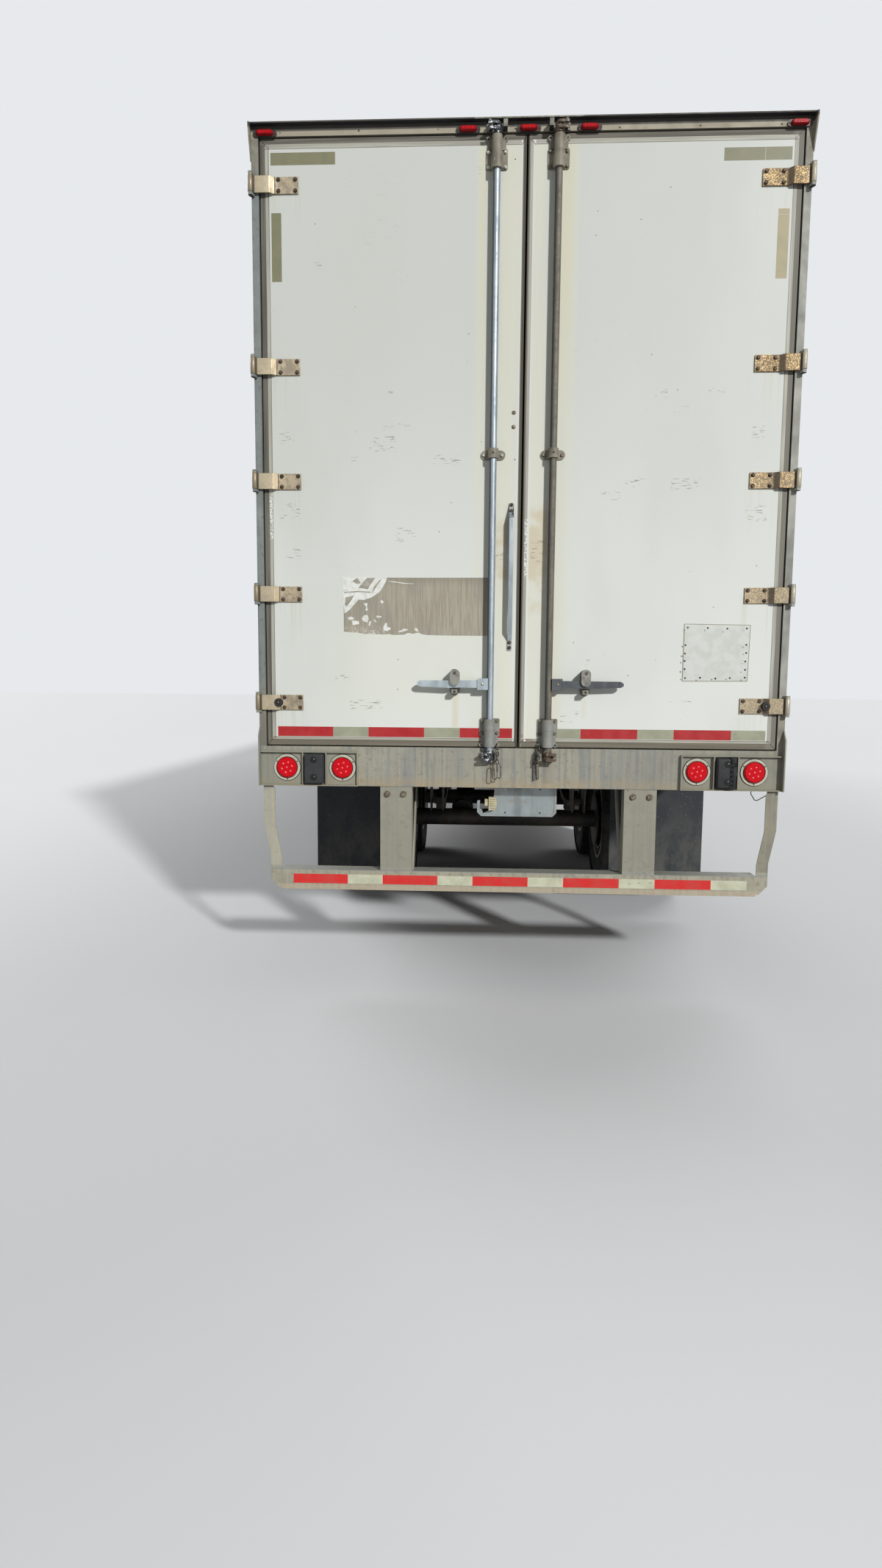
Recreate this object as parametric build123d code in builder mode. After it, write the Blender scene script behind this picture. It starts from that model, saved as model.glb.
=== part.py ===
from build123d import *
import os

# A 53 ft dry-van semi trailer with twin swing doors at the rear, tandem axles and landing legs.
# Millimetres. +X is to the right seen from behind, +Y is forward, +Z is up, and Z = 0 is the ground.
# The origin is on the ground under the middle of the whole trailer.

# Overall sizes
BODY_LENGTH = 16154
HEIGHT = 4115
LOCK_REACH = 60
COUPLING_REACH = 60
OVERALL_LENGTH = BODY_LENGTH + LOCK_REACH + COUPLING_REACH
REAR = -OVERALL_LENGTH / 2 + LOCK_REACH
NOSE = OVERALL_LENGTH / 2 - COUPLING_REACH

# Box body
RAIL_OUTER = 1296
WALL_OUTER = 1291
WALL_THICK = 13
WALL_INNER = WALL_OUTER - WALL_THICK
FLOOR_TOP = 1232
FLOOR_THICK = 35
BEAM_TOP = FLOOR_TOP - FLOOR_THICK
BEAM_HEIGHT = 102
BEAM_UNDER = BEAM_TOP - BEAM_HEIGHT
BEAM_PITCH = 305
BEAM_END = 1287
RAIL_TOP = 1262
RAIL_UNDER = 1082
TOP_RAIL_UNDER = 3985
TOP_RAIL_TOP = 4096
ROOF_TOP = 4100
WALL_TOP = 4084
SEAM_PITCH = 1219
SEAM_WIDTH = 90
SEAM_PROUD = 3
CORNER_RADIUS = 90
SKIN = 5
BOW_PITCH = 610
BOW_DEPTH = 30

# Rear frame
POST_OUTER = 1299
HALF_OPENING = 1265
HEADER_UNDER = 4064
HOOD_REACH = 28
GUSSET_REACH = 46
STOP_HALF = 1240
STOP_Y = 52
FRAME_DEPTH = 110
SILL_UNDER = 1010
SILL_TOP = 1208
SILL_STEP_Y = 52
PLATE = 6
CHEEK_REACH = 38
LIP_REACH = 20
LAMP_BOX = (800, 1299)
LAMP_BOX_TOP = 1178
LAMP_X = (880, 1160)
LAMP_Z = 1102
DOCK_X = (970, 1070)

# Doors
DOOR_FACE_Y = 8
DOOR_THICK = 38
DOOR_UNDER = 1243
DOOR_TOP = 4034
DOOR_OUTER = 1235
PANEL_OUTER = 1217
PANEL_UNDER = 1256
PANEL_TOP = 4012
SEAL_OUTER = 1259
SEAL_TOP = 4058
SEAL_UNDER = 1215
SEAL_Y = (10, 46)
HINGE_Z = (1427, 1959, 2498, 3032, 3850)
HINGE_HEIGHT = 75
STRAP_END = 1077
STUD_X = 1190
PIN_X = 1299
PIN_Y = -22
PIN_R = 6
BARREL_R = 12.5
ROD_Y = -28
ROD_R = 17
ROD_Z = (1141, 4084)
HANDLE_Z = 1525
CATCH_X = 320
GRAB_Z = (1717, 2372)

# Running gear
AXLE_Z = 505
REAR_AXLE_Y = REAR + 2400
AXLE_SPREAD = 1245
TYRE_R = 505
DUAL_MIDDLE = 984
DUAL_HALF = 163
SPRING_X = 490
LEG_X = 915
KINGPIN_Y = NOSE - 914
LEG_Y = KINGPIN_Y - 2667
SHAFT_Z = 830
COUPLER_UNDER = 1140

os.makedirs("parts", exist_ok=True)


def keep(piece, name):
    """Label one finished sub-part and write its file."""
    piece.label = name
    export_step(piece, f"parts/{name}.step")


def ahead(distance):
    """The Y of a plane this far forward of the rear frame's face."""
    return REAR + distance


def outline(plane, points):
    """A face with straight sides on a plane."""
    with BuildSketch(plane) as shape:
        with BuildLine():
            Polyline(*points, close=True)
        make_face()
    return shape.sketch


def rect(a0, a1, b0, b1):
    """The four corners of a rectangle."""
    return [(a0, b0), (a1, b0), (a1, b1), (a0, b1)]


def across(points, x0, x1, mode=Mode.ADD):
    """Extrude a (y, z) outline from x0 to x1."""
    extrude(outline(Plane.YZ.offset(x0), points), amount=x1 - x0, mode=mode)


def along(points, y0, y1, mode=Mode.ADD):
    """Extrude an (x, z) outline from y0 to y1."""
    extrude(outline(Plane.XZ.offset(-y0), points), amount=y0 - y1, mode=mode)


def upright(points, z0, z1, mode=Mode.ADD):
    """Extrude an (x, y) outline from z0 to z1."""
    extrude(outline(Plane.XY.offset(z0), points), amount=z1 - z0, mode=mode)


def flip(points, side):
    """Mirror an outline whose first coordinate is X to the given side."""
    return [(side * a, b) for a, b in points]


def rod_along_x(x0, x1, y, z, radius, mode=Mode.ADD):
    """A round bar that runs along X."""
    with BuildSketch(Plane.YZ.offset(x0)) as disc:
        with Locations((y, z)):
            Circle(radius)
    extrude(disc.sketch, amount=x1 - x0, mode=mode)


def rod_along_y(x, y0, y1, z, radius, mode=Mode.ADD):
    """A round bar that runs along Y."""
    with BuildSketch(Plane.XZ.offset(-y0)) as disc:
        with Locations((x, z)):
            Circle(radius)
    extrude(disc.sketch, amount=y0 - y1, mode=mode)


def rod_along_z(x, y, z0, z1, radius, mode=Mode.ADD):
    """A round bar that stands upright."""
    with BuildSketch(Plane.XY.offset(z0)) as disc:
        with Locations((x, y)):
            Circle(radius)
    extrude(disc.sketch, amount=z1 - z0, mode=mode)


def lathe(points, y, z):
    """Turn an (x, radius) outline, drawn below its axis, about the line along X through y and z."""
    lowered = [(x, z - r) for x, r in points]
    revolve(outline(Plane.XZ.offset(-y), lowered), axis=Axis((0, y, z), (1, 0, 0)))


SIDES = (("left", -1), ("right", 1))


# Side walls: one composite plate each, with a splice strip over every seam
WALL_Y = (ahead(100), NOSE - 95)

for name, side in SIDES:
    with BuildPart() as wall:
        upright(flip(rect(WALL_INNER, WALL_OUTER, *WALL_Y), side), BEAM_TOP + 2, WALL_TOP)
        for sheet in range(1, 13):
            seam_y = ahead(60) + sheet * SEAM_PITCH
            seam = rect(WALL_OUTER, WALL_OUTER + SEAM_PROUD, seam_y - SEAM_WIDTH / 2, seam_y + SEAM_WIDTH / 2)
            upright(flip(seam, side), RAIL_TOP, TOP_RAIL_UNDER)
    keep(wall.part, f"side_wall_{name}")

# Bottom rails: an outer web over the wall's foot and an inner ledge under the beams
BOTTOM_RAIL = [
    (WALL_OUTER, RAIL_TOP),
    (RAIL_OUTER, RAIL_TOP - 8),
    (RAIL_OUTER, RAIL_UNDER),
    (1236, RAIL_UNDER),
    (1236, BEAM_UNDER - 1),
    (BEAM_END + 1, BEAM_UNDER - 1),
    (BEAM_END + 1, BEAM_TOP),
    (WALL_OUTER, BEAM_TOP),
]
with BuildPart() as bottom_rails:
    for name, side in SIDES:
        along(flip(BOTTOM_RAIL, side), ahead(FRAME_DEPTH), NOSE - 130)
keep(bottom_rails.part, "bottom_rails")

# Top rails: a web outside the wall and a flange under the roof's edge
TOP_RAIL = [
    (WALL_OUTER, TOP_RAIL_UNDER),
    (RAIL_OUTER, TOP_RAIL_UNDER + 6),
    (RAIL_OUTER, TOP_RAIL_TOP - 10),
    (RAIL_OUTER - 10, TOP_RAIL_TOP),
    (1228, TOP_RAIL_TOP),
    (1228, TOP_RAIL_TOP - 8),
    (WALL_OUTER, TOP_RAIL_TOP - 8),
]
with BuildPart() as top_rails:
    for name, side in SIDES:
        along(flip(TOP_RAIL, side), ahead(FRAME_DEPTH), NOSE - 130)
keep(top_rails.part, "top_rails")

# Roof sheet with the channel bows bonded under it
BOW_COUNT = 26
with BuildPart() as roof:
    along(rect(-1284, 1284, TOP_RAIL_TOP, ROOF_TOP), ahead(FRAME_DEPTH + 12), NOSE - 95)
    for bow in range(BOW_COUNT):
        bow_y = ahead(430) + bow * BOW_PITCH
        top, under = TOP_RAIL_TOP, TOP_RAIL_TOP - BOW_DEPTH
        channel = [
            (bow_y - 30, top),
            (bow_y - 30, top - 3),
            (bow_y + 20, top - 3),
            (bow_y + 20, under),
            (bow_y + 23, under),
            (bow_y + 23, top),
        ]
        across(channel, -1226, 1226)
keep(roof.part, "roof")

# Front wall plate between two rounded corner posts, with a rail above and below
with BuildPart() as front_wall:
    along(rect(-1200, 1200, BEAM_TOP + 2, WALL_TOP), NOSE - SKIN - WALL_THICK, NOSE - SKIN)
keep(front_wall.part, "front_wall")

with BuildPart() as front_frame:
    for name, side in SIDES:
        bend_x = side * (RAIL_OUTER - CORNER_RADIUS)
        bend_y = NOSE - CORNER_RADIUS
        with BuildSketch(Plane.XY.offset(RAIL_UNDER)) as corner:
            with Locations((bend_x, bend_y)):
                Circle(CORNER_RADIUS)
                Circle(CORNER_RADIUS - SKIN, mode=Mode.SUBTRACT)
            with Locations((bend_x - side * CORNER_RADIUS, bend_y)):
                Rectangle(2 * CORNER_RADIUS, 3 * CORNER_RADIUS, mode=Mode.SUBTRACT)
            with Locations((bend_x, bend_y - CORNER_RADIUS)):
                Rectangle(3 * CORNER_RADIUS, 2 * CORNER_RADIUS, mode=Mode.SUBTRACT)
            with Locations((side * (RAIL_OUTER - SKIN / 2), bend_y - 20)):
                Rectangle(SKIN, 40)
            with Locations((bend_x - side * 20, NOSE - SKIN / 2)):
                Rectangle(40, SKIN)
        extrude(corner.sketch, amount=TOP_RAIL_TOP - RAIL_UNDER)
    front_low = [
        (NOSE - SKIN, RAIL_TOP),
        (NOSE, RAIL_TOP),
        (NOSE, RAIL_UNDER),
        (NOSE - 60, RAIL_UNDER),
        (NOSE - 60, RAIL_UNDER + 8),
        (NOSE - SKIN, RAIL_UNDER + 8),
    ]
    front_high = [
        (NOSE - SKIN, TOP_RAIL_UNDER),
        (NOSE, TOP_RAIL_UNDER),
        (NOSE, TOP_RAIL_TOP),
        (NOSE - 95, TOP_RAIL_TOP),
        (NOSE - 95, TOP_RAIL_TOP - 8),
        (NOSE - SKIN, TOP_RAIL_TOP - 8),
    ]
    front_half = RAIL_OUTER - CORNER_RADIUS - 40
    across(front_low, -front_half, front_half)
    across(front_high, -front_half, front_half)
keep(front_frame.part, "front_frame")

# Floor boards on I-section cross beams
with BuildPart() as floor:
    boards = [
        (-WALL_INNER + 1, ahead(FRAME_DEPTH)),
        (WALL_INNER - 1, ahead(FRAME_DEPTH)),
        (WALL_INNER - 1, NOSE - 112),
        (1188, NOSE - 19),
        (-1188, NOSE - 19),
        (-WALL_INNER + 1, NOSE - 112),
    ]
    upright(boards, BEAM_TOP, FLOOR_TOP)
keep(floor.part, "floor")

BEAM_COUNT = 47
FLANGE_HALF = 28
WEB_HALF = 2.5
FLANGE_THICK = 6
with BuildPart() as cross_members:
    for beam in range(BEAM_COUNT):
        beam_y = ahead(300) + beam * BEAM_PITCH
        section = [
            (beam_y - FLANGE_HALF, BEAM_TOP),
            (beam_y - FLANGE_HALF, BEAM_TOP - FLANGE_THICK),
            (beam_y - WEB_HALF, BEAM_TOP - FLANGE_THICK),
            (beam_y - WEB_HALF, BEAM_UNDER + FLANGE_THICK),
            (beam_y - FLANGE_HALF, BEAM_UNDER + FLANGE_THICK),
            (beam_y - FLANGE_HALF, BEAM_UNDER),
            (beam_y + FLANGE_HALF, BEAM_UNDER),
            (beam_y + FLANGE_HALF, BEAM_UNDER + FLANGE_THICK),
            (beam_y + WEB_HALF, BEAM_UNDER + FLANGE_THICK),
            (beam_y + WEB_HALF, BEAM_TOP - FLANGE_THICK),
            (beam_y + FLANGE_HALF, BEAM_TOP - FLANGE_THICK),
            (beam_y + FLANGE_HALF, BEAM_TOP),
        ]
        across(section, -BEAM_END, BEAM_END)
keep(cross_members.part, "cross_members")

# Upper coupler: a plate with an upturned nose, hung from five channels, and the kingpin through it
COUPLER_HALF = 620
COUPLER_BACK = NOSE - 1340
COUPLER_THICK = 10
KINGPIN_HOLE_R = 37
with BuildPart() as coupler:
    plate = [
        (COUPLER_BACK, COUPLER_UNDER),
        (NOSE - 150, COUPLER_UNDER),
        (NOSE - 70, COUPLER_UNDER + 38),
        (NOSE - 70, COUPLER_UNDER + 38 + COUPLER_THICK),
        (NOSE - 154, COUPLER_UNDER + COUPLER_THICK),
        (COUPLER_BACK, COUPLER_UNDER + COUPLER_THICK),
    ]
    across(plate, -COUPLER_HALF, COUPLER_HALF)
    for bay in range(5):
        back = COUPLER_BACK + 30 + bay * 260
        low, high = COUPLER_UNDER + COUPLER_THICK, BEAM_TOP
        channel = [
            (back, low),
            (back + 60, low),
            (back + 60, low + 7),
            (back + 7, low + 7),
            (back + 7, high - 7),
            (back + 60, high - 7),
            (back + 60, high),
            (back, high),
        ]
        across(channel, -BEAM_END, BEAM_END)
    rod_along_z(0, KINGPIN_Y, COUPLER_UNDER, COUPLER_UNDER + COUPLER_THICK, KINGPIN_HOLE_R, Mode.SUBTRACT)
keep(coupler.part, "coupler_plate")

KINGPIN_COLLAR_R = 36.5
KINGPIN_NECK_R = 25.4
KINGPIN_FLANGE_R = 35.75
with BuildPart() as kingpin:
    rod_along_z(0, KINGPIN_Y, COUPLER_UNDER - 84, COUPLER_UNDER - 65, KINGPIN_FLANGE_R)
    rod_along_z(0, KINGPIN_Y, COUPLER_UNDER - 65, COUPLER_UNDER - 30, KINGPIN_NECK_R)
    rod_along_z(0, KINGPIN_Y, COUPLER_UNDER - 30, COUPLER_UNDER + COUPLER_THICK, KINGPIN_COLLAR_R)
    rod_along_z(0, KINGPIN_Y, COUPLER_UNDER + COUPLER_THICK, COUPLER_UNDER + COUPLER_THICK + 12, 75)
keep(kingpin.part, "kingpin")

# Keepers for the lock rods: two prongs on feet, open to the rear
ROD_X = {"left": -145, "right": 141}
FOOT_GAP = 16
PRONG_GAP = 28
PRONG_NARROW = 38
PRONG_WIDE = 47


def keeper(side, x, z0, z1):
    """Two prongs around a lock rod, on the frame's rear face. The wide one is nearer the middle."""
    narrow = [
        (FOOT_GAP, ahead(0)),
        (FOOT_GAP, ahead(-6)),
        (PRONG_GAP, ahead(-6)),
        (PRONG_GAP, ahead(-46)),
        (PRONG_NARROW, ahead(-46)),
        (PRONG_NARROW, ahead(-6)),
        (50, ahead(-6)),
        (50, ahead(0)),
    ]
    wide = [
        (-FOOT_GAP, ahead(0)),
        (-FOOT_GAP, ahead(-6)),
        (-PRONG_GAP, ahead(-6)),
        (-PRONG_GAP, ahead(-46)),
        (-PRONG_WIDE, ahead(-46)),
        (-PRONG_WIDE, ahead(0)),
    ]
    for prong in (narrow, wide):
        upright([(x + side * dx, y) for dx, y in prong], z0, z1)


# Rear frame: pressed posts with door stops, the header with its hood, and lugs and pins for the hinges
LUG_THICK = 13
LUG_GAP = 1
with BuildPart() as rear_frame:
    post = [
        (HALF_OPENING, ahead(0)),
        (POST_OUTER, ahead(0)),
        (POST_OUTER, ahead(FRAME_DEPTH)),
        (POST_OUTER - PLATE, ahead(FRAME_DEPTH)),
        (POST_OUTER - PLATE, ahead(PLATE)),
        (HALF_OPENING + PLATE, ahead(PLATE)),
        (HALF_OPENING + PLATE, ahead(STOP_Y + PLATE)),
        (STOP_HALF, ahead(STOP_Y + PLATE)),
        (STOP_HALF, ahead(STOP_Y)),
        (HALF_OPENING, ahead(STOP_Y)),
    ]
    gusset = [
        (ahead(0), 3955),
        (ahead(0), HEIGHT),
        (ahead(-HOOD_REACH), HEIGHT),
        (ahead(-GUSSET_REACH), HEIGHT - 8),
        (ahead(-GUSSET_REACH), HEIGHT - 30),
    ]
    lug = [
        (POST_OUTER - 16, ahead(0)),
        (POST_OUTER, ahead(0)),
        (POST_OUTER + 11, ahead(PIN_Y + 6)),
        (POST_OUTER + 8, ahead(PIN_Y - 10)),
        (POST_OUTER - 8, ahead(PIN_Y - 10)),
    ]
    for name, side in SIDES:
        upright(flip(post, side), SILL_TOP, HEIGHT - PLATE)
        across(gusset, side * (POST_OUTER - 2), side * (POST_OUTER + 4))
        for z in HINGE_Z:
            half = HINGE_HEIGHT / 2 + LUG_GAP
            upright(flip(lug, side), z + half, z + half + LUG_THICK)
            upright(flip(lug, side), z - half - LUG_THICK, z - half)
            rod_along_z(side * PIN_X, ahead(PIN_Y), z - half, z + half, PIN_R)
    header = [
        (ahead(0), HEADER_UNDER),
        (ahead(STOP_Y + PLATE), HEADER_UNDER),
        (ahead(STOP_Y + PLATE), HEADER_UNDER + PLATE),
        (ahead(PLATE), HEADER_UNDER + PLATE),
        (ahead(PLATE), HEIGHT - PLATE),
        (ahead(0), HEIGHT - PLATE),
    ]
    stop = rect(ahead(STOP_Y), ahead(STOP_Y + PLATE), HEADER_UNDER - 24, HEADER_UNDER)
    hood = rect(ahead(-HOOD_REACH), ahead(FRAME_DEPTH + 12), HEIGHT - PLATE, HEIGHT)
    across(header, -HALF_OPENING, HALF_OPENING)
    across(stop, -HALF_OPENING, HALF_OPENING)
    across(hood, -POST_OUTER - 4, POST_OUTER + 4)
    for name, side in SIDES:
        keeper(side, ROD_X[name], HEADER_UNDER, HEADER_UNDER + 32)
keep(rear_frame.part, "rear_frame")

# Rear sill: a pressed step with lipped boxes at both ends for the lamps and dock bumpers
with BuildPart() as rear_sill:
    step = [
        (ahead(0), SILL_UNDER),
        (ahead(140), SILL_UNDER),
        (ahead(140), SILL_UNDER + 8),
        (ahead(8), SILL_UNDER + 8),
        (ahead(8), SILL_TOP - 8),
        (ahead(SILL_STEP_Y + 8), SILL_TOP - 8),
        (ahead(SILL_STEP_Y + 8), FLOOR_TOP - 8),
        (ahead(FRAME_DEPTH), FLOOR_TOP - 8),
        (ahead(FRAME_DEPTH), FLOOR_TOP),
        (ahead(SILL_STEP_Y), FLOOR_TOP),
        (ahead(SILL_STEP_Y), SILL_TOP),
        (ahead(0), SILL_TOP),
    ]
    across(step, -STOP_HALF + 2, STOP_HALF - 2)
    end_step = [p for p in step if p[0] <= ahead(8) or p[1] <= SILL_UNDER + 8]
    for name, side in SIDES:
        ends = sorted((side * (STOP_HALF - 2), side * POST_OUTER))
        across(end_step, *ends)
        cheek = [
            (ahead(0), SILL_UNDER),
            (ahead(0), 1312),
            (ahead(-CHEEK_REACH), 1262),
            (ahead(-CHEEK_REACH), SILL_UNDER),
        ]
        across(cheek, side * (POST_OUTER - PLATE), side * POST_OUTER)
        box_in, box_out = LAMP_BOX[0], LAMP_BOX[1] - PLATE
        lip_y = (ahead(-LIP_REACH), ahead(0))
        for z in (SILL_UNDER, LAMP_BOX_TOP):
            along(flip(rect(box_in, box_out, z, z + 6), side), *lip_y)
        for x in (box_in, DOCK_X[0] - 12, DOCK_X[1] + 6):
            along(flip(rect(x, x + 6, SILL_UNDER, LAMP_BOX_TOP), side), *lip_y)
    for name, side in SIDES:
        keeper(side, ROD_X[name], 1150, 1186)
keep(rear_sill.part, "rear_sill")

# Lamps, rings and dock bumpers
with BuildPart() as tail_lamps:
    for name, side in SIDES:
        for x in LAMP_X:
            rod_along_y(side * x, ahead(-9), ahead(0), LAMP_Z, 52)
            rod_along_y(side * x, ahead(-14), ahead(-9), LAMP_Z, 46)
keep(tail_lamps.part, "tail_lamps")

with BuildPart() as lamp_rings:
    for name, side in SIDES:
        for x in LAMP_X:
            rod_along_y(side * x, ahead(-6), ahead(0), LAMP_Z, 66)
            rod_along_y(side * x, ahead(-6), ahead(0), LAMP_Z, 53, Mode.SUBTRACT)
keep(lamp_rings.part, "lamp_rings")

BUMPER_REACH = 46
BUMPER_EDGE = 9
BUMPER_Z = (SILL_UNDER + 10, LAMP_BOX_TOP - 4)
with BuildPart() as dock_bumpers:
    for name, side in SIDES:
        ends = sorted((side * DOCK_X[0], side * DOCK_X[1]))
        along(rect(*ends, *BUMPER_Z), ahead(-BUMPER_REACH), ahead(0))
    front = dock_bumpers.edges().filter_by_position(Axis.Y, ahead(-BUMPER_REACH), ahead(-BUMPER_REACH + 1))
    chamfer(front, BUMPER_EDGE)
    for name, side in SIDES:
        for z in (1056, 1143):
            rod_along_y(side * 1020, ahead(-BUMPER_REACH), ahead(-20), z, 15, Mode.SUBTRACT)
    torn_away = [
        (1038, BUMPER_Z[1]),
        (1046, 1146),
        (1035, 1118),
        (1028, 1083),
        (1041, 1048),
        (1034, BUMPER_Z[0]),
        (DOCK_X[1], BUMPER_Z[0]),
        (DOCK_X[1], BUMPER_Z[1]),
    ]
    along(torn_away, ahead(-BUMPER_REACH), ahead(-27), Mode.SUBTRACT)
keep(dock_bumpers.part, "dock_bumpers")

# Clearance lamps: five red ones under the hood, and four amber ones at the nose
MARKER_X = (-1231, -280, 0, 280, 1231)
MARKER_Z = 4082
SIDE_LAMP_SPOTS = ((ahead(900), 1180), (-300, 1180), (NOSE - 420, 1180), (NOSE - 420, 4040))
with BuildPart() as marker_lamps:
    for x in MARKER_X:
        with BuildSketch(Plane.XZ.offset(-ahead(0))) as lens:
            with Locations((x, MARKER_Z)):
                SlotOverall(106, 36)
        extrude(lens.sketch, amount=24)
keep(marker_lamps.part, "marker_lamps")

with BuildPart() as side_lamps:
    for name, side in SIDES:
        for y, z in SIDE_LAMP_SPOTS:
            ends = sorted((side * RAIL_OUTER, side * (RAIL_OUTER + 9)))
            across(rect(y - 50, y + 50, z - 17, z + 17), *ends)
keep(side_lamps.part, "side_lamps")

# A loop of the lamp lead that hangs below the right end of the sill
LEAD_Y = 60
LEAD_R = 2.2
LEAD_BEND_R = 14
LEAD_ROUTE = [
    (1167, ahead(LEAD_Y), SILL_UNDER),
    (1167, ahead(LEAD_Y), 988),
    (1191, ahead(LEAD_Y), 950),
    (1249, ahead(LEAD_Y), 984),
    (1249, ahead(LEAD_Y), SILL_UNDER),
]
with BuildPart() as lamp_lead:
    with BuildLine():
        FilletPolyline(*LEAD_ROUTE, radius=LEAD_BEND_R)
    with BuildSketch(Plane.XY.offset(SILL_UNDER)):
        with Locations((1167, ahead(LEAD_Y))):
            RegularPolygon(LEAD_R, 8)
    sweep()
keep(lamp_lead.part, "lamp_lead")

# Licence bracket under the sill, its left end torn open, with a raised rim, and its ribbed lamp
LICENCE_HALF = 202
LICENCE_UNDER = 852
LICENCE_CORNER = 20
LICENCE_RIM = 10
LICENCE_MIDDLE = 30
LICENCE_HOLES = [(LICENCE_MIDDLE + dx, z) for dx in (-88.9, 88.9) for z in (871, 991.6)]
with BuildPart() as licence_bracket:
    plate = [
        (LICENCE_HALF, SILL_UNDER),
        (LICENCE_HALF, LICENCE_UNDER + LICENCE_CORNER),
        (LICENCE_HALF - LICENCE_CORNER, LICENCE_UNDER),
        (LICENCE_CORNER - LICENCE_HALF, LICENCE_UNDER),
        (-LICENCE_HALF, LICENCE_UNDER + LICENCE_CORNER),
        (-LICENCE_HALF, 931),
        (-187, 934),
        (-190, 891),
        (-178, 888),
        (-172, 867),
        (-140, 881),
        (-136, 930),
        (-118, 944),
        (-112, SILL_UNDER),
    ]
    rim = plate[:5] + [
        (-LICENCE_HALF, 900),
        (LICENCE_RIM - LICENCE_HALF, 900),
        (LICENCE_RIM - LICENCE_HALF, LICENCE_UNDER + LICENCE_CORNER + 4),
        (LICENCE_CORNER - LICENCE_HALF + 4, LICENCE_UNDER + LICENCE_RIM),
        (LICENCE_HALF - LICENCE_CORNER - 4, LICENCE_UNDER + LICENCE_RIM),
        (LICENCE_HALF - LICENCE_RIM, LICENCE_UNDER + LICENCE_CORNER + 4),
        (LICENCE_HALF - LICENCE_RIM, SILL_UNDER),
    ]
    along(plate, ahead(98), ahead(102))
    along(rim, ahead(94), ahead(98))
    with BuildSketch(Plane.XZ.offset(-ahead(98))) as holes:
        with Locations(*LICENCE_HOLES):
            Circle(4)
    extrude(holes.sketch, amount=-4, mode=Mode.SUBTRACT)
keep(licence_bracket.part, "licence_bracket")

LENS_X = (-143, -103)
LENS_Z = (885, 953)
LENS_RIBS = 6
with BuildPart() as licence_lamp:
    body = [
        (LENS_X[0], LENS_Z[0]),
        (LENS_X[1] - 8, LENS_Z[0] + 4),
        (LENS_X[1], LENS_Z[0] + 22),
        (LENS_X[1], LENS_Z[1] - 22),
        (LENS_X[1] - 8, LENS_Z[1] - 2),
        (LENS_X[0], LENS_Z[1]),
    ]
    along(body, ahead(66), ahead(98))
    pitch = (LENS_Z[1] - LENS_Z[0]) / LENS_RIBS
    for rib in range(1, LENS_RIBS):
        z = LENS_Z[0] + rib * pitch
        along(rect(LENS_X[0] + 7, LENS_X[1], z - 2, z + 2), ahead(66), ahead(71), Mode.SUBTRACT)
    along(rect(LENS_X[0] - 20, LENS_X[0], 908, 942), ahead(76), ahead(96))
keep(licence_lamp.part, "licence_lamp")

# Rear guard: square bar, two channel posts, two braces, and cranked end struts
GUARD_UNDER = 477
GUARD_TOP = 579
GUARD_HALF = 1194
GUARD_POST = (530, 690)
with BuildPart() as rear_guard:
    across(rect(ahead(0), ahead(102), GUARD_UNDER, GUARD_TOP), -GUARD_HALF, GUARD_HALF)
    across(rect(ahead(6), ahead(96), GUARD_UNDER + 6, GUARD_TOP - 6), -GUARD_HALF, GUARD_HALF, Mode.SUBTRACT)
    for name, side in SIDES:
        inner, outer = GUARD_POST
        post = [
            (inner, ahead(4)),
            (outer, ahead(4)),
            (outer, ahead(90)),
            (outer - 6, ahead(90)),
            (outer - 6, ahead(10)),
            (inner + 6, ahead(10)),
            (inner + 6, ahead(90)),
            (inner, ahead(90)),
        ]
        upright(flip(post, side), GUARD_TOP, 1009)
        brace = [
            (ahead(30), GUARD_TOP),
            (ahead(90), GUARD_TOP),
            (ahead(340), BEAM_UNDER),
            (ahead(272), BEAM_UNDER),
        ]
        across(brace, side * (inner - 8), side * inner)
        strut = [
            (1225, 988),
            (1237, SILL_UNDER),
            (1283, SILL_UNDER),
            (1283, 811),
            (1251, 645),
            (1251, 530),
            (1210, 486),
            (GUARD_HALF, 486),
            (GUARD_HALF, 640),
            (1225, 806),
        ]
        along(flip(strut, side), ahead(2), ahead(8))
        rim = [
            (1277, SILL_UNDER),
            (1283, SILL_UNDER),
            (1283, 811),
            (1251, 645),
            (1251, 530),
            (1245, 530),
            (1245, 646),
            (1277, 812),
        ]
        along(flip(rim, side), ahead(8), ahead(44))
keep(rear_guard.part, "rear_guard")

# Slider rails under the beams, with a row of pin holes, and the bogie frame that hangs from them
RAIL_SPAN = (ahead(345), ahead(5300))
SLIDER_UNDER = 1004
PIN_HOLE_COUNT = 26
PIN_HOLE_PITCH = 152.4
PIN_HOLE_R = 15
PIN_HOLE_Z = 1046
with BuildPart() as slider_rails:
    for name, side in SIDES:
        section = [
            (500, BEAM_UNDER),
            (572, BEAM_UNDER),
            (572, BEAM_UNDER - 8),
            (508, BEAM_UNDER - 8),
            (508, SLIDER_UNDER),
            (440, SLIDER_UNDER),
            (440, SLIDER_UNDER + 8),
            (500, SLIDER_UNDER + 8),
        ]
        along(flip(section, side), *RAIL_SPAN)
        with BuildSketch(Plane.YZ.offset(side * 500)) as pin_holes:
            with Locations((ahead(2700), PIN_HOLE_Z)):
                with GridLocations(PIN_HOLE_PITCH, 1, PIN_HOLE_COUNT, 1):
                    Circle(PIN_HOLE_R)
        extrude(pin_holes.sketch, amount=side * 8, mode=Mode.SUBTRACT)
keep(slider_rails.part, "slider_rails")

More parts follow.
